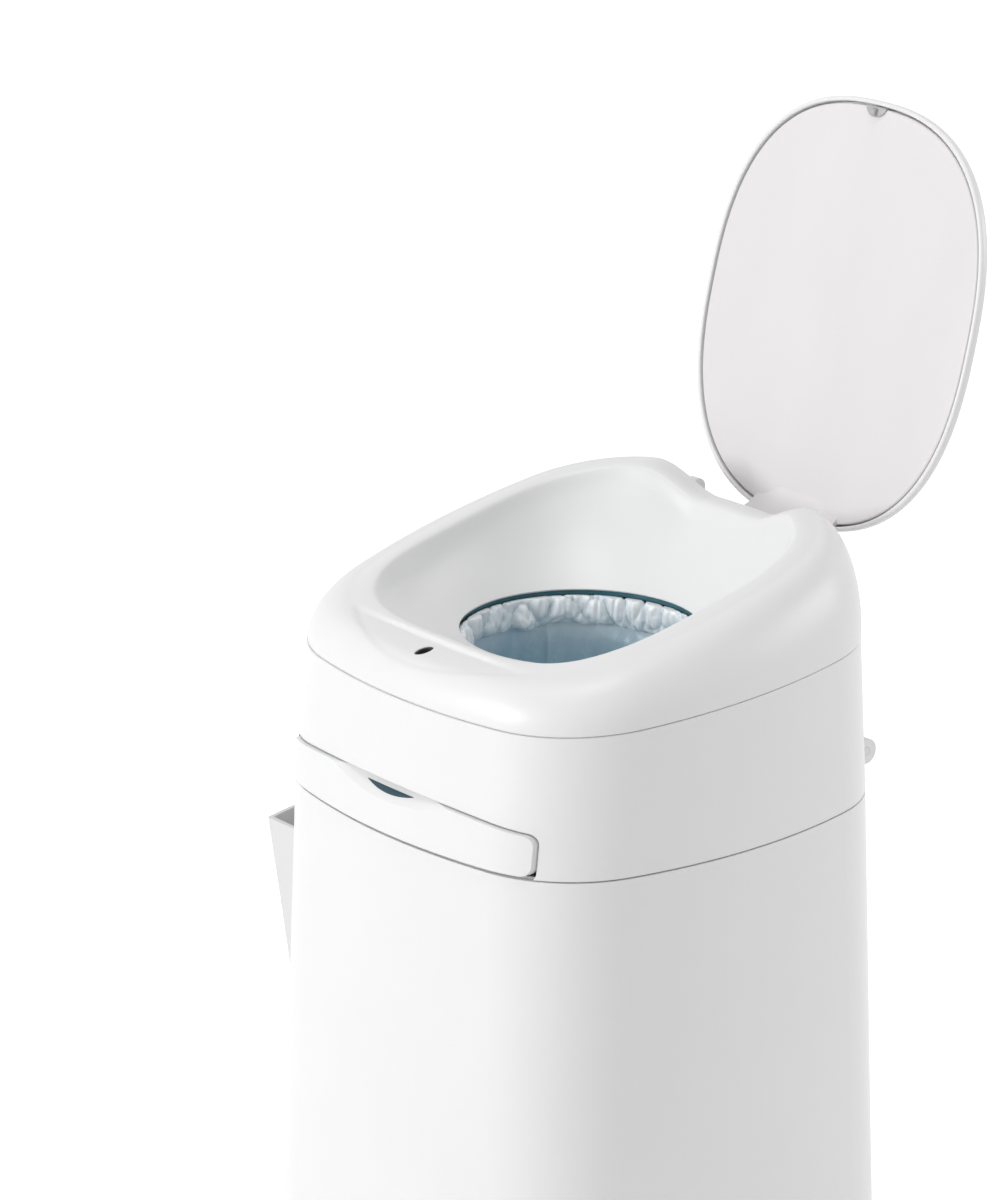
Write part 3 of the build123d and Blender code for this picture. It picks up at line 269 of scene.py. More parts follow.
# ---- mesh making
def grid_part(points, close_rows=False):
    """A grid of points (rows, columns, 3) as a list of points and the quads between neighbours.

    Each row is a closed ring, and the last row may join the first.
    """
    rows, columns = points.shape[:2]
    i = np.arange(rows if close_rows else rows - 1)[:, None]
    j = np.arange(columns)[None, :]
    down, along = (i + 1) % rows, (j + 1) % columns
    corners = [i * columns + j, i * columns + along, down * columns + along, down * columns + j]
    return points.reshape(-1, 3), np.stack(corners, -1).reshape(-1, 4)


def capped_part(points):
    """A grid whose first and last rings are closed by a face each."""
    count = points.shape[1]
    points, faces = grid_part(points)
    return points, [*faces, range(count)[::-1], range(len(points) - count, len(points))]


def round_bar(ends, radius, y, z, edge=0.5, columns=40):
    """Round bar along X with flat ends and quarter-round edges."""
    t, turn = np.linspace(0, pi / 2, 4), ring_turns(columns)
    x = ends[0] + np.append(0.0, edge * (1 - np.cos(t)))
    x = np.append(x, sum(ends) - x[::-1])[:, None]
    reach = np.append(0.0, radius - edge * (1 - np.sin(t)))
    reach = np.append(reach, reach[::-1])[:, None]
    return grid_part(spread(x, y + reach * np.cos(turn), z + reach * np.sin(turn)))


def bar_of_outline(outline, low, high):
    """Straight form along X with the same (y, z) outline at both ends."""
    return capped_part(spread(np.array([[low], [high]]), *np.array(outline).T))


def make_mesh(name, parts, closed=True):
    """Mesh from parts in millimetres. Doubled points merge, and closed forms face outward."""
    points, faces, start = [], [], 0
    for part_points, part_faces in parts:
        points.append(part_points)
        faces += [[int(i) + start for i in face] for face in part_faces]
        start += len(part_points)
    points = np.concatenate(points) + (0, 0, SEAM)
    mesh = bpy.data.meshes.new(name)
    mesh.from_pydata((points * MM).tolist(), [], faces)
    work = bmesh.new()
    work.from_mesh(mesh)
    bmesh.ops.remove_doubles(work, verts=work.verts, dist=1e-6)
    bmesh.ops.dissolve_degenerate(work, edges=work.edges, dist=1e-7)
    if closed:
        bmesh.ops.recalc_face_normals(work, faces=work.faces)
    work.to_mesh(mesh)
    work.free()
    return mesh


def link(name, data):
    """A new object in the scene."""
    made = bpy.data.objects.new(name, data)
    bpy.context.scene.collection.objects.link(made)
    return made


def shade(mesh, sharp=SHARP):
    """Smooth shading, with edges sharper than an angle kept crisp."""
    mesh.polygons.foreach_set("use_smooth", np.ones(len(mesh.polygons), bool))
    mesh.set_sharp_from_angle(angle=radians(sharp))


def make_piece(name, parts, kind, body, replaces=(), closed=True, sharp=SHARP):
    """Mesh piece with a finish, riding on a body and standing for CAD nodes."""
    mesh = make_mesh(name, parts, closed)
    shade(mesh, sharp)
    mesh.materials.append(finish(kind))
    piece = link(name, mesh)
    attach(piece, body)
    if replaces:
        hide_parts(*replaces)
    return piece


def cut_piece(piece, parts):
    """Take closed forms, given in millimetres, out of a piece."""
    for part in parts:
        cutter = link("cutter", make_mesh("cutter", [part]))
        boolean = piece.modifiers.new("cut", "BOOLEAN")
        boolean.operation = "DIFFERENCE"
        boolean.solver = "EXACT"
        boolean.object = cutter
        bpy.context.view_layer.update()
        graph = bpy.context.evaluated_depsgraph_get()
        result = bpy.data.meshes.new_from_object(piece.evaluated_get(graph))
        piece.modifiers.clear()
        old, tool = piece.data, cutter.data
        result.name = old.name + "_cut"
        piece.data = result
        bpy.data.objects.remove(cutter)
        bpy.data.meshes.remove(old)
        bpy.data.meshes.remove(tool)
    shade(piece.data)


# ---- materials
def linear(code):
    """Linear colour with alpha from an sRGB hex code."""
    parts = [int(code[i:i + 2], 16) / 255 for i in (0, 2, 4)]
    return [p / 12.92 if p <= 0.04045 else ((p + 0.055) / 1.055) ** 2.4 for p in parts] + [1.0]


def node(tree, kind, inputs=None, **settings):
    """Add a node: settings are its own values, inputs are socket values or sockets to link."""
    made = tree.nodes.new(kind)
    for key, value in settings.items():
        setattr(made, key, value)
    for key, value in (inputs or {}).items():
        if isinstance(value, bpy.types.NodeSocket):
            tree.links.new(value, made.inputs[key])
        else:
            made.inputs[key].default_value = value
    return made


def blank(name):
    """A new material with an empty tree, and the object position that its patterns read."""
    material = bpy.data.materials.new(name)
    material.use_nodes = True
    tree = material.node_tree
    tree.nodes.clear()
    return material, tree, node(tree, "ShaderNodeTexCoord").outputs["Object"]


def noise(tree, place, size, detail=2.0, distortion=0.0):
    """Noise with grains of a size in millimetres."""
    return node(tree, "ShaderNodeTexNoise", {
        "Vector": place, "Scale": 1 / (size * MM), "Detail": detail,
        "Distortion": distortion}).outputs["Fac"]


def between(tree, share, low, high, start=0.0, end=1.0):
    """Value that goes from low to high while a share goes from start to end."""
    return node(tree, "ShaderNodeMapRange", {
        "Value": share, "From Min": start, "From Max": end, "To Min": low,
        "To Max": high}).outputs["Result"]


def surface(material, share, colours, height, depth, values, edge=None):
    """The material, with two colours mixed by a share, a relief from a height so many mm deep
    over any rounded edges, and the other values of its shader."""
    tree = material.node_tree
    tint = node(tree, "ShaderNodeMix", {
        "Factor": share, "A": linear(colours[0]), "B": linear(colours[1])}, data_type="RGBA")
    relief = node(tree, "ShaderNodeBump", {
        "Height": height, "Strength": 1.0, "Distance": depth * MM})
    if edge:
        tree.links.new(edge, relief.inputs["Normal"])
    shader = node(tree, "ShaderNodeBsdfPrincipled", {
        "Base Color": tint.outputs["Result"], "Normal": relief.outputs["Normal"], **values})
    node(tree, "ShaderNodeOutputMaterial", {"Surface": shader.outputs["BSDF"]})
    return material


def shell_abs(name="white_abs_moulded", colours=("E2E2E2", "E7E7E7")):
    """White ABS, injection-moulded: satin gloss over a fine spark-eroded grain, with rounded
    edges that catch the light and a faint unevenness of gloss where the melt flowed."""
    material, tree, place = blank(name)
    flow = noise(tree, place, 70)
    edge = node(tree, "ShaderNodeBevel", {"Radius": 0.7 * MM}, samples=4)
    return surface(material, flow, colours, noise(tree, place, 0.6), 0.005, {
        "Roughness": between(tree, flow, 0.34, 0.4, 0.3, 0.7), "IOR": 1.53}, edge.outputs["Normal"])


def liner_pp():
    """White polypropylene, injection-moulded: softer and a touch warmer than the shell, with a
    waxy, silky gloss and long faint flow marks."""
    material, tree, place = blank("white_polypropylene_moulded")
    stretch = node(tree, "ShaderNodeMapping", {"Vector": place, "Scale": (1.0, 0.35, 0.35)})
    flow = noise(tree, stretch.outputs["Vector"], 45, 3.0)
    return surface(material, flow, ("D8D5D6", "E0DDDE"), noise(tree, place, 0.5, 1.0), 0.004, {
        "Roughness": between(tree, flow, 0.4, 0.5), "IOR": 1.49})


def teal_abs(name="teal_abs_moulded", colours=("2C5F6C", "386C78")):
    """Teal ABS, injection-moulded: a deep blue-green with a satin face, slightly paler where
    the pigment swirled."""
    material, tree, place = blank(name)
    swirl = noise(tree, place, 30, 3.0, 1.0)
    return surface(material, swirl, colours, noise(tree, place, 0.6), 0.008, {
        "Roughness": between(tree, swirl, 0.38, 0.48), "IOR": 1.53})


def film_pe():
    """Polyethylene film, blown: thin, bluish and see-through where it is single, milky where
    it is gathered, with small bright creases."""
    material, tree, place = blank("blown_polyethylene_film")
    crease = noise(tree, place, 5, 4.0, 0.8)
    gather = node(tree, "ShaderNodeAttribute", attribute_name="gather").outputs["Fac"]
    return surface(material, gather, ("B4DAEC", "F4F8FA"), crease, 0.4, {
        "Roughness": between(tree, crease, 0.16, 0.36), "IOR": 1.51,
        "Alpha": between(tree, gather, 0.7, 0.97)})


def pad_rubber():
    """Black nitrile rubber, moulded: dull, finely pitted, greyer where it rubs."""
    material, tree, place = blank("black_nitrile_rubber")
    pits = node(tree, "ShaderNodeTexVoronoi", {"Vector": place, "Scale": 1 / (1.2 * MM)})
    return surface(
        material, noise(tree, place, 12, 3.0), ("1E1F21", "35363A"), pits.outputs["Distance"], 0.05,
        {"Roughness": 0.72, "IOR": 1.5})


def bush_acetal():
    """Natural acetal, turned: creamy white with fine rings left by the tool."""
    material, tree, place = blank("natural_acetal_turned")
    rings = node(tree, "ShaderNodeTexWave", {
        "Vector": place, "Scale": 1 / (6 * MM), "Distortion": 0.5,
        "Detail": 2.0}, bands_direction="Y").outputs["Fac"]
    return surface(
        material, rings, ("D8D4C6", "E4E1D6"), rings, 0.02, {"Roughness": 0.42, "IOR": 1.48})


def steel(name, colours, roughness, grain):
    """Steel with fine drawing or turning lines, which vary its colour and gloss a little."""
    material, tree, place = blank(name)
    lines = noise(tree, place, grain, 4.0)
    return surface(material, lines, colours, lines, 0.01, {
        "Metallic": 1.0, "Roughness": between(tree, lines, roughness - 0.08, roughness + 0.08)})


# What the real pieces are made of, and what that gives the eye; some also carry painted shade.
MAKERS = {
    "shell": shell_abs,
    # the clip-on holder: the shell's white, a shade greyer as painted shade for the dimmer light at
    # its end of the pail
    "holder": lambda: shell_abs("holder_abs_painted_shade", ("D3D3D3", "D9D9D9")),
    # the catch: the shell's white made grey, as painted shade round the nub
    "catch": lambda: shell_abs("catch_abs_painted_shade", ("A9A9A9", "B0B0B0")),
    "liner": liner_pp,
    "teal": teal_abs,
    # the grip's slot: the clamp's teal seen through it, darker as painted shade
    "slot_teal_shade": lambda: teal_abs("slot_teal_abs_painted_shade", ("173D49", "1F4855")),
    "film": film_pe,
    "pad": pad_rubber,
    "bush": bush_acetal,
    # hard-drawn bars and pins: bright, with long fine lines
    "steel": lambda: steel("bright_drawn_steel", ("A8A9AC", "C2C3C6"), 0.28, 0.8),
    # zinc-plated screws: paler and slightly clouded
    "screw": lambda: steel("zinc_plated_steel", ("A9ADB0", "C9CCCE"), 0.36, 1.5),
    # patented spring wire: darker, with a dull oiled shine
    "wire": lambda: steel("patented_spring_steel", ("6F7074", "94959A"), 0.38, 0.6),
    # honed cutter blade: very even and bright
    "blade": lambda: steel("honed_blade_steel", ("B6B8BB", "CFD1D4"), 0.2, 0.4),
}

NODE_FINISH = {
    "shell": ("pail_body", "pail_base", "head_housing", "funnel_cover", "lid_shell", "pull_handle"),
    "holder": ("scoop_holder",),
    "catch": ("lid_catch",),
    "liner": ("lid_liner",),
    "teal": ("clamp_base", "clamp_cover", "fixed_jaw", "moving_jaw", "slide_frame",
             "cassette_tub", "cassette_cap", "cutter_body"),
    "film": ("film_pack", "film_sleeve", "film_bag", "bag_knot"),
    "pad": ("fixed_jaw_pad", "moving_jaw_pad"),
    "bush": ("slide_bushes",),
    "steel": ("head_hinge_pins", "cover_hinge_pins", "lid_hinge_pins", "guide_rods"),
    "screw": ("clamp_screws", "mounting_screws", "handle_screws"),
    "wire": ("return_springs",),
    "blade": ("cutter_blade",),
}


@cache
def finish(name):
    """The material of that name, made once."""
    return MAKERS[name]()


# ---- funnel cover
def rim_height(ring):
    """Height of the rim's surface: a plane that rises to the rear, less a round dip at the hinge.

    The dip grows with a smoothstep from DIP_START to DIP_END, and across it one more
    smoothstep leads from its flat floor up its flanks.
    """
    x, y = ring[..., 0], ring[..., 1]
    across = 1 - smooth((np.abs(x) - DIP_FLAT) / (DIP_HALF - DIP_FLAT))
    return RIM_H + RIM_SLOPE * y - DIP * across * smooth((y - DIP_START) / (DIP_END - DIP_START))


def oval_ring(turn, half_w, front, rear, powers):
    """Points of an oval |x/w|^p + |y/d|^p = 1 about its own middle, in the given directions.

    The exponent goes over from one for the front to one for the rear by a smoothstep.
    """
    power = powers[1] + (powers[0] - powers[1]) * smooth(0.5 - 1.5 * np.sin(turn))
    reach = oval_reach(turn, half_w, (rear - front) / 2, power)
    return np.stack([reach * np.cos(turn), (front + rear) / 2 + reach * np.sin(turn)], -1)


def with_height(ring, height):
    """Ring of points at a height, which is one number or one for each point."""
    return np.concatenate([ring, np.broadcast_to(height, ring.shape[:-1])[..., None]], -1)


def cover_skin(sizes, shoulder_rows=20, funnel_rows=84):
    """Outer skin of the funnel cover, from its lower edge over the rim down to the throat.

    The shoulder is a quarter ellipse: its height goes with the sine of an angle, and it draws
    in with one minus the cosine. From there each column is a clamped cubic B-spline whose
    control points are the shoulder's top, the shelf, the mouth, the funnel and the throat.
    """
    half_w, half_d, shift = BAND_TOP
    side = sizes.shoulder_side / MM
    front, rear = sizes.shoulder_front / MM, sizes.shoulder_rear / MM
    rows = []
    for angle in np.linspace(0, pi / 2, shoulder_rows):
        share, drawn = sin(angle), 1 - cos(angle)
        ring = plan_ring(
            half_w - side * drawn, half_d - (front + rear) / 2 * drawn,
            shift + (front - rear) / 2 * drawn)
        foot = BAND_H + SEAM_GAP + BAND_SLOPE * ring[:, 1]
        rows.append(with_height(ring, foot + share * (rim_height(ring) - foot)))
    top = rows[-1]
    turn = np.arctan2(top[:, 1] - (MOUTH[1] + MOUTH[2]) / 2, top[:, 0])
    mouth = oval_ring(turn, *MOUTH, MOUTH_POWER)
    waist = oval_ring(turn, *WAIST, WAIST_POWER)
    throat = THROAT_R * np.stack([np.cos(turn), np.sin(turn)], -1)
    toward = unit(waist - mouth)
    steep = 1 - smooth((-mouth[:, 1] - MOUTH_EASE[0]) / MOUTH_EASE[1])
    crest = rim_height(mouth) + CREST * steep
    shelf = top[:, :2] + 0.5 * (mouth - top[:, :2])
    waist_z = WAIST_H + WAIST_SLOPE * waist[:, 1]
    controls = np.stack([
        top,
        with_height(shelf, rim_height(shelf) + 0.9 * CREST * steep),
        with_height(mouth, crest),
        *(with_height(mouth + run * toward, crest - drop - more * steep)
          for run, drop, more in MOUTH_EDGE),
        with_height(waist, waist_z),
        with_height((waist + 2 * throat) / 3, (waist_z + 2 * THROAT_H) / 3 - 0.4),
        with_height(throat, THROAT_H),
    ])
    funnel = np.einsum("rc,cpk->rpk", spline_weights(len(controls), funnel_rows), controls)
    skin = np.concatenate([np.stack(rows), funnel[1:]])
    skin[..., 2] -= recess_depth(skin, sizes.recess_depth / MM)
    return skin


def recess_depth(skin, deepest):
    """Depth of the finger recess: it grows from its bowed front edge and ends at its rear line."""
    span = RECESS_BACK - RECESS_FRONT
    centre = (RECESS_HALF ** 2 + RECESS_BACK ** 2 - RECESS_FRONT ** 2) / (2 * span)
    inside = centre - RECESS_FRONT - np.hypot(skin[..., 0], skin[..., 1] - centre)
    behind = RECESS_BACK - skin[..., 1]
    deep = deepest * (0.35 * smooth(inside / RECESS_EDGE) + 0.65 * smooth(inside / RECESS_RUN))
    deep = deep * smooth((behind + 0.6) / RECESS_STEP)
    return np.where((behind > -1) & (skin[..., 2] > BAND_H), deep, 0)


def inward(skin, depth):
    """The skin moved inward by a depth for each row, along the cross products of its slopes."""
    along = np.roll(skin, -1, 1) - np.roll(skin, 1, 1)
    return skin - depth[:, None, None] * unit(np.cross(along, np.gradient(skin, axis=0)))


def make_cover(sizes):
    skin = cover_skin(sizes)
    thinned = smooth((np.arange(len(skin)) - len(skin) + THIN_ROWS) / (THIN_ROWS - 1))
    inner = inward(skin, WALL - (WALL - THROAT_WALL) * thinned)
    near = (np.abs(inner[..., 0]) < NOTCH_HALF + WALL) & (inner[..., 1] > NOTCH_FRONT - WALL)
    inner[..., 2] = np.where(near, np.minimum(inner[..., 2], NOTCH_FLOOR - WALL), inner[..., 2])
    groove = with_height(plan_ring(*BAND_TOP, SEAM_DEEP), skin[0, :, 2])
    tongue = (0, 0, SEAM_GAP - 0.03)
    inner[0] = inner[0] - tongue
    rings = np.concatenate([[groove - tongue, groove], skin, inner[::-1]])
    cover = make_piece(
        "funnel_cover_shell", [grid_part(rings, close_rows=True)], "shell", "cover",
        replaces=["funnel_cover"])
    rear, above = 2 * HINGE_Y, 2 * RIM_H
    notch = [
        (NOTCH_FRONT, NOTCH_FLOOR), (NOTCH_FRONT, above), (rear, above), (rear, NOTCH_FLOOR)]
    cut_piece(cover, [bar_of_outline(notch, -NOTCH_HALF, NOTCH_HALF), latch_hole()])
    make_lugs()
    # the black cup in the latch hole is painted shade down the hole
    make_piece("latch_shade_cup", [latch_shade_cup()], "pad", "cover")


def make_lugs():
    """Ears that hold the lid's pins, and knuckles on their webs for the cover's own hinge."""
    lugs = []
    web = [
        (FLAP_Y + FLAP_R * 0.8, FLAP_H), (FLAP_Y - FLAP_R * 0.2, FLAP_H + FLAP_R * 0.95),
        (FLAP_Y - FLAP_REACH, FLAP_H + FLAP_WEB), (FLAP_Y - FLAP_REACH, FLAP_H)]
    for side in (-1, 1):
        ear = sorted((side * NOTCH_HALF, side * (NOTCH_HALF + EAR_W)))
        knuckle = sorted((side * FLAP_KNUCKLE_IN, side * (FLAP_KNUCKLE_IN + FLAP_KNUCKLE)))
        lugs += [
            round_bar(ear, EAR_R, HINGE_Y, HINGE_H),
            round_bar(ear, EAR_R - 1.0, HINGE_Y, HINGE_H + EAR_TALL),
            round_bar(knuckle, FLAP_R, FLAP_Y, FLAP_H), bar_of_outline(web, *knuckle)]
    make_piece("funnel_cover_lugs", lugs, "shell", "cover")


def latch_rings(profile, columns=40):
    """Upright oval form at the latch: each (grow, height) of the profile is a ring of the hole's
    outline, grown by that much, and a ring grown to nothing closes the form."""
    turn = ring_turns(columns)
    grow, height = rings_of(profile)
    share = np.maximum(1 + grow / LATCH_W, 0.0)
    x, y = share * LATCH_W * np.cos(turn), share * LATCH_L * np.sin(turn)
    base = RIM_H + RIM_SLOPE * LATCH_Y + height
    return grid_part(spread(x, LATCH_Y + y, base + LATCH_SLOPE * y))


def latch_hole():
    """Upright bar that cuts the hole where the lid's catch goes in."""
    return latch_rings([
        (-LATCH_W, -LATCH_DEEP), (0.0, -LATCH_DEEP), (0.0, LATCH_DEEP), (-LATCH_W, LATCH_DEEP)])


def latch_shade_cup():
    """Black rubber cup that lines the hole where the catch goes in: its black is painted shade for
    the dark inside of the hole.
    """
    return latch_rings([
        (-LATCH_W, -LATCH_DEEP), (1.2, -LATCH_DEEP), (1.2, -3.2), (0.9, -2.9), (0.1, -2.9),
        (0.1, -1.7), (-0.5, -1.65), (-0.7, -1.9), (-0.7, -7.8), (-LATCH_W, -7.8)])


# ---- lid
def on_lid(x, along, off):
    """Points from the lid's own measures: across, along it from the hinge, and off the hinge."""
    y = HINGE_Y + along * cos(LID_SLOPE) + off * sin(LID_SLOPE)
    z = HINGE_H + along * sin(LID_SLOPE) - off * cos(LID_SLOPE)
    return spread(x, y, z)


def lid_rings(profile, columns=288):
    """Rings of the lid's oval: each (inset, off) of the profile draws the outline in by an inset.

    Past 30 mm the rings shrink towards the middle in proportion, and the last closes the form.
    """
    turn = ring_turns(columns)
    inset, off = rings_of(profile)
    drawn = np.minimum(inset, 30.0)
    shrink = 1 - np.maximum(inset - 30.0, 0) / (LID_W - 30.0)
    reach = oval_reach(turn, LID_W - drawn, LID_L - drawn, LID_POWER) * shrink
    return grid_part(on_lid(reach * np.cos(turn), LID_MID + reach * np.sin(turn), off))


def quarter(start, end, steps):
    """Quarter ellipse from start to end, leaving start along the second axis."""
    turn = np.linspace(0, pi / 2, steps)
    across, off = end[0] - start[0], end[1] - start[1]
    return [(start[0] + across * (1 - cos(t)), start[1] + off * sin(t)) for t in turn]


def make_lid(sizes):
    edge = sizes.lid_round / MM
    outer = LID_FACE + LID_T
    floor = outer - LID_WALL
    tray = (
        [(LID_W, floor), (40.0, floor), (4.0, floor), (LID_WALL, floor - 0.5)]
        + quarter((LID_WALL, LID_FACE + 0.7), (LID_LIP, LID_FACE), 5)
        + [(LID_LIP - LID_LIP * sin(t), LID_FACE + LID_LIP * (1 - cos(t)))
           for t in np.linspace(0.2, pi / 2, 6)]
        + [(0.0, LID_FACE + 2.5)]
        + quarter((0.0, outer - 5.0), (edge, outer - 0.35), 14)
        + [(30.0, outer - 0.2), (55.0, outer - 0.05), (LID_W, outer)]
    )
    make_piece(
        "lid_tray", [lid_rings(tray)], "shell", "lid", replaces=["lid_shell"])
    barrel = round_bar((-BARREL_HALF, BARREL_HALF), BARREL_R, HINGE_Y, HINGE_H, 0.8)
    make_piece("lid_flange", [barrel, lid_flange()], "liner", "lid")
    face, back, foot = LID_FACE + LINER_FACE, LID_FACE + LINER_BACK, floor - 0.05
    liner = (
        [(LID_W, back), (40.0, back), (LINER_IN, back), (LINER_IN, foot), (LINER_OUT, foot)]
        + quarter((LINER_OUT, face + 0.8), (LINER_OUT + 1.0, face), 6)
        + [(16.0, face - 0.1), (30.0, face - 0.15), (50.0, face - 0.2), (LID_W, face - 0.2)]
    )
    make_piece(
        "lid_liner_panel", [lid_rings(liner)], "liner", "lid", replaces=["lid_liner"])
    # the catch's grey pad and nub are painted shade round the nub
    make_piece(
        "lid_catch_tab", lid_catch(), "catch", "lid", replaces=["lid_catch"])


def lid_flange(columns=60, steps=28):
    """Curved plate from the barrel to the lid's face.

    Its line is a cubic curve of four control points. Where it meets the face its sides sink.
    """
    t = np.linspace(0, 1, steps)[:, None]
    weights = np.concatenate([(1 - t) ** 3, 3 * t * (1 - t) ** 2, 3 * t * t * (1 - t), t ** 3], 1)
    line = weights @ np.array(FLANGE_LINE)
    across = np.linspace(-1, 1, columns)[None, :]
    wide = (FLANGE_HALF + FLANGE_FLARE * smooth(1.4 * t)) * across
    sunk = FLANGE_SINK * smooth((np.abs(across) - 0.45) / 0.55) * smooth((t - 0.45) / 0.5)
    slope = FLANGE_T * unit(np.gradient(line, axis=0))
    along, off = line[:, :1], line[:, 1:] + sunk
    front = on_lid(wide, along, off)
    back = on_lid(wide, along - slope[:, 1:], off + slope[:, :1])
    points, faces = grid_part(np.concatenate([front, back[:, ::-1]], 1))
    count = 2 * columns
    caps = [
        [start + i, start + i + 1, start + count - 2 - i, start + count - 1 - i]
        for start in (0, (steps - 1) * count) for i in range(columns - 1)
    ]
    return points, [*faces, *caps]


def lid_catch():
    """Grey half-moon pad on the liner's tip, painted shade round the nub, with the small square nub
    that clicks into the latch.
    """
    turn = np.linspace(0, pi, 24)
    inset, off = rings_of([(0.0, 0.6), (0.0, -0.5), (0.3, -0.9), (0.8, -1.05)])
    along = CATCH_TIP - 0.8 * inset - (CATCH_LONG - inset) * np.sin(turn)
    pad = on_lid((CATCH_HALF - inset) * np.cos(turn), along, CATCH_FACE + off)
    shrink, off = rings_of([(1.0, 0.0), (1.0, -2.4), (0.7, -2.95)])
    x, along = NUB_HALF * np.array([(-1, 1, 1, -1), (-1, -1, 1, 1)])
    nub = on_lid(x * shrink, NUB_AT + along * shrink, CATCH_FACE + off)
    return [capped_part(pad), capped_part(nub)]


# ---- handle
def grip_slot_plate(columns=33):
    """Lens-shaped dark teal plate on the handle's finger bevel: the slot with the clamp's teal,
    darker as painted shade.

    The bevel is a round bar's surface, so the plate rises with x squared over twice its radius. Its
    upper edge is straight and its lower edge a parabola.
    """
    x = np.linspace(-GRIP_HALF, GRIP_HALF, columns)
    low = GRIP_LOW + (GRIP_TOP - 0.2 - GRIP_LOW) * (x / GRIP_HALF) ** 2
    x, along = np.concatenate([x, x[::-1]]), np.concatenate([low, np.full(columns, GRIP_TOP)])
    middle = (GRIP_LOW + GRIP_TOP) / 2
    share, off = rings_of([(0.0, -0.7), (1.0, -0.7), (1.0, 0.1), (0.98, 0.2), (0.0, 0.2)])
    across, up = share * x, middle + share * (along - middle)
    rise = off + across ** 2 / (2 * GRIP_R)
    y = GRIP_Y + up * cos(GRIP_LEAN) - rise * sin(GRIP_LEAN)
    z = GRIP_H + up * sin(GRIP_LEAN) + rise * cos(GRIP_LEAN)
    return grid_part(spread(across, y, z))


# ---- film
def set_gather(piece, values):
    """Store how tightly the film is gathered at each point, from 0, single, to 1, bunched."""
    data = piece.data.attributes.new("gather", "FLOAT", "POINT")
    values = np.ravel(values) * np.ones(len(piece.data.vertices))
    data.data.foreach_set("value", values.astype(np.float32))


def crumple(turn, along, length, rng, count=16):
    """Smooth random unevenness of about unit size over the film's ring.

    It is a sum of cosine waves of one length, which run in random directions over the
    ring's girth and height, each a whole number of times round it.
    """
    total = 0.0
    rate = 2 * pi / length
    for angle, phase in zip(rng.uniform(0, pi, count), rng.uniform(0, 2 * pi, count)):
        girth = np.rint(FILM_R * rate * cos(angle))
        total = total + np.cos(girth * turn + rate * sin(angle) * along + phase)
    return total / sqrt(count / 2)


def film_grid(sizes, columns=900):
    """The film from its gathered top edge, down its ring, in to the flat slit and down the neck.

    Below the gathered band the ring is a circle with long shallow folds. From the fold down,
    each point slides on a straight line to the slit, and the neck is the slit's line carried
    down.
    """
    rng = np.random.default_rng(sizes.seed)
    turn = ring_turns(columns)[None, :]
    froth, froth_gather = froth_rings(turn, rng)
    edge = radians(LAP_TURN) - turn
    lap = smooth(edge / 0.03 + 0.5) * smooth((radians(90) - edge) / 0.5)
    share = np.linspace(0, 1, 36)[1:, None]
    folds = crumple(turn, 0.0, FOLDS[0], rng) + 0.4 * crumple(turn, 0.0, FOLDS[1], rng)
    fine = crumple(turn, 12 * share, FOLDS[2], rng)
    x, y, start_z = np.moveaxis(froth[-1:], -1, 0)
    start_r = np.hypot(x, y)
    fold = 0.35 * sizes.film_fold / MM * folds * (0.4 + 0.6 * share) + 0.1 * fine
    veil_r = start_r + (FILM_R - 1.4 - 0.9 * lap + fold - start_r) * smooth(4 * share)
    veil = round_ring(turn, veil_r, start_z + (FILM_FOLD - start_z) * share)
    veil_gather = 0.5 * (1 - share) ** 4 + 0.1 + 0.16 * lap + 0.05 * folds + 0.03 * fine
    rim = veil[-1:]
    share = np.linspace(0, 1, 30)[1:, None]
    bend = np.sin(pi * share)
    slit = NECK_HALF * np.sign(np.cos(turn)) * np.abs(np.cos(turn)) ** 0.9
    x = rim[..., 0] + (slit - rim[..., 0]) * smooth(share)
    y = rim[..., 1] * (1 - share) + 0.35 * np.sign(np.sin(turn)) * share
    funnel = spread(x, y, FILM_FOLD - 1.5 * bend - 4.0 * share + 0.9 * folds * bend)
    funnel_gather = 0.2 + 0.4 * share + 0.06 * folds
    drop = np.linspace(0, 1, 10)[1:, None]
    x, y, z = np.moveaxis(funnel[-1:], -1, 0)
    neck = spread(x, y, z + (NECK_LOW - z) * drop)
    points = np.concatenate([froth, veil, funnel, neck])
    gather = np.concatenate([
        froth_gather, veil_gather, funnel_gather, np.full((len(drop), columns), 0.5)])
    return points, np.clip(gather, 0, 1)


def froth_rings(turn, rng):
    """The gathered band's rings, and how tightly they are gathered.

    It is half an ellipse in section, swollen into puffs: the size of a smooth unevenness makes
    round lobes with sharp creases between them.
    """
    section = np.linspace(0, pi, 44)[:, None]
    along = FROTH_GIRTH * section / pi
    large, small, fine = (crumple(turn, along, length, rng) for length in PUFFS)
    puff = 1.05 * np.abs(large) ** 0.7 + 0.35 * np.abs(small) ** 0.7 + 0.07 * fine
    swell = np.sin(section) ** 0.7
    wander = 0.7 * crumple(turn, 0.0, WANDER, rng)
    inner = FROTH_IN * np.sin(section) + (1.9 * puff - 1.2) * swell
    tall = (FROTH_HALF + PUFF_H * puff * swell) * np.cos(section) + wander * np.sin(section / 2)
    rise = (2.2 * smooth((inner - 0.7) / 0.9) * smooth(np.cos(section) / 0.6)
            * np.clip(0.3 + 0.5 * puff, 0.2, 1.2))
    top = FROTH_HALF + PUFF_H + 0.6 * (inner > 0.7) - 0.15 * section
    radius = FILM_R - 0.5 - np.maximum(inner, 0.1 * section)
    height = FILM_TOP - FROTH_HALF - PUFF_H + np.minimum(tall + rise, top)
    gather = np.clip(0.86 + 0.16 * (puff - 0.8), 0.6, 1.0)
    return round_ring(turn, radius, height), gather


def surface_area(points):
    """Area of a grid in mm2, from the cross products of its cells' diagonals."""
    first = np.roll(points[1:], -1, 1) - points[:-1]
    second = points[1:] - np.roll(points[:-1], -1, 1)
    return 0.5 * np.linalg.norm(np.cross(first, second), axis=-1).sum()


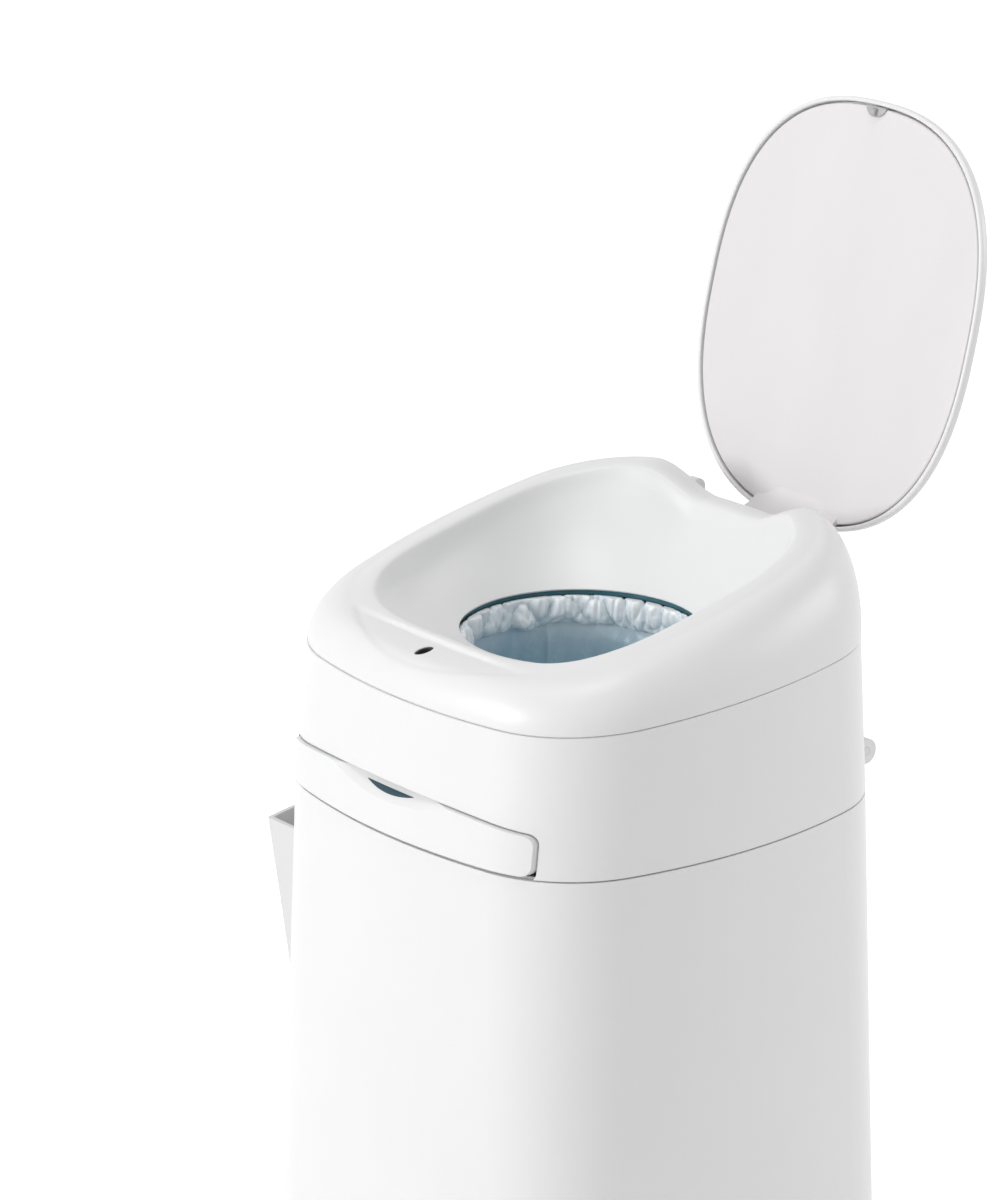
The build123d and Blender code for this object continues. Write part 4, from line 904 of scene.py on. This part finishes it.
def film_tube(name, node_name, points, gather):
    """A tube of the film, and the width and length of the sheet it is when laid flat."""
    tube = make_piece(
        name, [grid_part(points)], "film", "head", replaces=[node_name], closed=False,
        sharp=180)
    set_gather(tube, gather)
    width = 2 * pi * FILM_R
    return tube, (width * MM, surface_area(points) / width * MM)


def make_film(sizes):
    """The film's sleeve and the bag below it, each a tube cut from the same lay-flat film."""
    sleeve, flat = film_tube("film_sleeve_sheet", "film_sleeve", *film_grid(sizes))
    bag, flat = film_tube("film_bag_sheet", "film_bag", *bag_grid(sizes))
    knot = make_piece(
        "bag_knot_tied", [bag_knot()], "film", "head", replaces=["bag_knot"], sharp=180)
    set_gather(knot, 0.85)


def bag_grid(sizes, columns=480):
    """The bag: ovals that widen from the flat neck, and draw in to the knot.

    Half the width and half the depth follow smoothsteps of the height, and waves that grow
    towards the neck and the knot are the creases.
    """
    rng = np.random.default_rng(sizes.seed + 1)
    turn = ring_turns(columns)
    creases = waves(turn, (5, 9, 14, 23, 37), (0.5, 0.5, 0.4, 0.3, 0.25), rng)
    more = waves(turn, (7, 12, 19, 31, 47), (0.5, 0.45, 0.4, 0.3, 0.25), rng)
    t = np.linspace(0, 1, 90)[:, None]
    wide, close = smooth(t / 0.62), smooth((t - 0.6) / 0.4)
    half_w = NECK_HALF + (BAG_HALF_W - NECK_HALF) * wide
    half_d = BAG_TOP_HALF + (BAG_HALF_D - 1.5) * wide
    half_w += (BAG_END_HALF - half_w) * close
    half_d += (BAG_END_HALF - half_d) * close
    crease = (creases * (1 - t) + more * t) * (0.3 + 1.3 * wide * (1 - close * 0.6))
    x = half_w * np.cos(turn) * (1 - BAG_CREASE + BAG_CREASE * crease)
    y = half_d * np.sin(turn) * (1 + 0.03 * crease * wide)
    gather = np.clip(0.25 + 0.6 * close + 0.3 * (1 - wide) + 0.08 * crease, 0, 1)
    return spread(x, y, NECK_LOW - 0.2 + (BAG_LOW - NECK_LOW) * t), gather


def bag_knot(rows=40, columns=64):
    """The knot: a ball with slanting wraps, which are waves along its height and turn."""
    fall = np.linspace(0, pi, rows)[:, None]
    turn = ring_turns(columns)[None, :]
    wraps = 0.09 * np.cos(3 * turn + 7 * fall) + 0.05 * np.cos(5 * turn - 9 * fall)
    radius = (KNOT_R - 1.4) * (1 + wraps * np.sin(fall))
    height = BAG_LOW - KNOT_R * 0.8 + radius * np.cos(fall) * 0.95
    return grid_part(round_ring(turn, radius * np.sin(fall), height))


def make_pack(columns=240):
    """The pleated film in the cassette: a ring whose section zigzags, one layer over the other."""
    turn = ring_turns(columns)
    step = np.arange(2 * PLEATS + 1)
    height = PACK_LOW + (PACK_HIGH - PACK_LOW) * step / (2 * PLEATS)
    pleat = np.where(step % 2, 0.0, PLEAT)
    radius = np.append(PACK_OUT - pleat, (PACK_IN + pleat)[::-1])[:, None]
    height = np.append(height, height[::-1])[:, None]
    radius = radius + PLEAT_WAVE * np.cos(17 * turn + 0.9 * height)
    pleats = grid_part(round_ring(turn, radius, height), close_rows=True)
    pack = make_piece(
        "film_pack_pleats", [pleats], "film", "head", replaces=["film_pack"])
    set_gather(pack, 0.75)


# ---- springs
def spring_tube(centre_x, turns, sides=10, steps=28):
    """Wire of a compression spring: a circle carried along a helix about the guide rod.

    Its pitch closes up over the first and last turn, as ground ends do.
    """
    turn = np.linspace(0, 2 * pi * turns, turns * steps)
    share = turn / turn[-1]
    closed = 1.0 / turns
    ends = smooth(share / (2 * closed)) + smooth((share - 1 + 2 * closed) / (2 * closed))
    travel = ends * 0.5 * closed + np.clip(share - closed, 0, 1 - 2 * closed)
    travel = travel / travel[-1]
    length = SPRING_REAR - SPRING_FRONT - 2 * SPRING_WIRE
    y = SPRING_FRONT + SPRING_WIRE + length * travel
    out = spread(np.cos(turn), 0.0, np.sin(turn))
    centre = spread(centre_x, y, ROD_Z) + SPRING_R * out
    side = np.cross(unit(np.gradient(centre, axis=0)), out)
    ring = ring_turns(sides)[None, :, None]
    wire = SPRING_WIRE * (np.cos(ring) * out[:, None] + np.sin(ring) * side[:, None])
    return capped_part(centre[:, None] + wire)


def make_springs(sizes):
    springs = make_piece(
        "return_spring_coils", [spring_tube(side * ROD_X, sizes.spring_turns) for side in (-1, 1)],
        "wire", "head", replaces=["return_springs"], sharp=60)
    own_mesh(springs)


# ---- stage
CAMERA_AT = (1.50665, -1.27808, 1.02278)
CAMERA_TURN, CAMERA_DROP = 50.744, 18.172
LENS, SENSOR = 140.57, 36.0


def make_camera():
    """The camera's axes from its turn about the vertical and its drop below the horizontal."""
    turn, drop = radians(CAMERA_TURN), radians(CAMERA_DROP)
    right = Vector((cos(turn), sin(turn), 0))
    back = Vector((
        sin(turn) * cos(drop), -cos(turn) * cos(drop), sin(drop)))
    up = back.cross(right)
    data = bpy.data.cameras.new("camera")
    data.sensor_fit = "VERTICAL"
    data.sensor_height = SENSOR
    data.lens = LENS
    data.clip_end = 50
    camera = link("camera", data)
    axes = Matrix(([*right, 0], [*up, 0], [*back, 0], [*CAMERA_AT, 1]))
    camera.matrix_world = axes.transposed()
    bpy.context.scene.camera = camera


def seen(tree):
    """Socket that is 1 where the camera, a reflection or a refraction looks."""
    rays = node(tree, "ShaderNodeLightPath").outputs
    share = rays["Is Camera Ray"]
    for other in (rays["Is Glossy Ray"], rays["Is Transmission Ray"]):
        most = node(tree, "ShaderNodeMath", {0: share, 1: other}, operation="MAXIMUM")
        share = most.outputs["Value"]
    return share


def make_world(fill):
    """Soft studio surround: plain light on the object, white where it is seen."""
    world = bpy.data.worlds.new("studio")
    bpy.context.scene.world = world
    world.use_nodes = True
    tree = world.node_tree
    tree.nodes.clear()
    strength = between(tree, seen(tree), fill, 1.0)
    sky = node(tree, "ShaderNodeBackground", {"Color": (1, 1, 1, 1), "Strength": strength})
    node(tree, "ShaderNodeOutputWorld", {"Surface": sky.outputs["Background"]})


def make_floor(lift):
    """Pale paper sweep, matt, which keeps the object's shadow."""
    mesh = bpy.data.meshes.new("floor")
    mesh = bpy.data.meshes.new("floor")
    corners = [(-FLOOR, -FLOOR, 0), (FLOOR, -FLOOR, 0), (FLOOR, FLOOR, 0), (-FLOOR, FLOOR, 0)]
    mesh.from_pydata(corners, [], [(0, 1, 2, 3)])
    floor = link("floor", mesh)
    material, tree, place = blank("pale_paper_floor")
    rough = between(tree, noise(tree, place, 2), 0.85, 0.95)
    glow = node(tree, "ShaderNodeMath", {0: seen(tree), 1: lift}, operation="MULTIPLY")
    shader = node(tree, "ShaderNodeBsdfPrincipled", {
        "Base Color": linear("F4F4F4"), "Roughness": rough, "Specular IOR Level": 0.0,
        "Emission Color": (1, 1, 1, 1), "Emission Strength": glow.outputs["Value"]})
    node(tree, "ShaderNodeOutputMaterial", {"Surface": shader.outputs["BSDF"]})
    mesh.materials.append(material)


def area_light(name, place, aim, size, power):
    data = bpy.data.lights.new(name, "AREA")
    data.shape = "DISK"
    data.size = size
    data.energy = power
    lamp = link(name, data)
    lamp.location = place
    lamp.rotation_euler = (Vector(aim) - Vector(place)).to_track_quat("-Z", "Y").to_euler()


# ---- operators
class PAIL_OT_stage(bpy.types.Operator):
    """Set up the camera, the surround, the floor and the key light"""
    bl_idname = "pail.stage"
    bl_label = "Stage"

    def execute(self, context):
        look = context.scene.pail_colours
        make_camera()
        make_world(look.fill)
        make_floor(look.floor_lift)
        area_light("key_light", (-0.8, -3.1, 1.2), (0, 0, 0.35), 1.2, look.key)
        area_light("rim_light", (1.9, 2.6, 1.3), (0, 0, 0.35), 1.4, look.rim)
        area_light("top_light", (0.1, -0.3, 2.5), (0, 0, 0.38), 1.0, look.top)
        context.scene.view_settings.view_transform = "Standard"
        return {"FINISHED"}


class PAIL_OT_finishes(bpy.types.Operator):
    """Give every CAD node the material of the real piece, with painted shade in the scoop holder's
    grey
    """
    bl_idname = "pail.finishes"
    bl_label = "Finishes"

    def execute(self, context):
        for kind, names in NODE_FINISH.items():
            for name in names:
                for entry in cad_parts[name].material_slots:
                    entry.material = finish(kind)
        return {"FINISHED"}


class PAIL_OT_cover(bpy.types.Operator):
    """Make the funnel cover with its shoulder, finger recess, funnel, hinge lugs and latch hole"""
    bl_idname = "pail.cover"
    bl_label = "Funnel cover"

    def execute(self, context):
        make_cover(context.scene.pail_sizes)
        return {"FINISHED"}


class PAIL_OT_lid(bpy.types.Operator):
    """Make the oval lid with its tray, liner, hinge flange and catch"""
    bl_idname = "pail.lid"
    bl_label = "Lid"

    def execute(self, context):
        make_lid(context.scene.pail_sizes)
        return {"FINISHED"}


class PAIL_OT_film(bpy.types.Operator):
    """Make the film: its frothy gathered ring, the bag, the knot and the pleated pack"""
    bl_idname = "pail.film"
    bl_label = "Film"

    def execute(self, context):
        make_film(context.scene.pail_sizes)
        make_pack()
        return {"FINISHED"}


class PAIL_OT_springs(bpy.types.Operator):
    """Wind the two return springs on their guide rods"""
    bl_idname = "pail.springs"
    bl_label = "Return springs"

    def execute(self, context):
        make_springs(context.scene.pail_sizes)
        return {"FINISHED"}


class PAIL_OT_grip(bpy.types.Operator):
    """Lay a dark teal plate into the handle's finger bevel, as the slot in painted shade"""
    bl_idname = "pail.grip"
    bl_label = "Grip slot shade"

    def execute(self, context):
        # the plate's dark teal is the clamp seen through the slot, with painted shade
        make_piece("grip_slot_lens_shaded", [grip_slot_plate()], "slot_teal_shade", "clamp")
        return {"FINISHED"}


class PAIL_PT_panel(bpy.types.Panel):
    """Sizes, colours and pieces of the pail"""
    bl_idname = "PAIL_PT_panel"
    bl_label = "Litter disposal pail"
    bl_space_type = "VIEW_3D"
    bl_region_type = "UI"
    bl_category = "Pail"

    def draw(self, context):
        for group in (context.scene.pail_sizes, context.scene.pail_colours):
            for name in group.bl_rna.properties.keys():
                if name not in ("rna_type", "name"):
                    self.layout.prop(group, name)
        for operator in OPERATORS:
            self.layout.operator(operator.bl_idname)


OPERATORS = (
    PAIL_OT_stage, PAIL_OT_finishes, PAIL_OT_cover, PAIL_OT_lid, PAIL_OT_film, PAIL_OT_springs,
    PAIL_OT_grip)
CLASSES = (PailSizes, PailColours, *OPERATORS, PAIL_PT_panel)


def register():
    for cls in CLASSES:
        bpy.utils.register_class(cls)
    bpy.types.Scene.pail_sizes = PointerProperty(type=PailSizes)
    bpy.types.Scene.pail_colours = PointerProperty(type=PailColours)


def unregister():
    del bpy.types.Scene.pail_colours, bpy.types.Scene.pail_sizes
    for cls in reversed(CLASSES):
        bpy.utils.unregister_class(cls)


def main():
    register()
    bpy.ops.pail.stage()
    bpy.ops.pail.finishes()
    bpy.ops.pail.cover()
    bpy.ops.pail.lid()
    bpy.ops.pail.film()
    bpy.ops.pail.springs()
    bpy.ops.pail.grip()


if __name__ == "__main__":
    main()
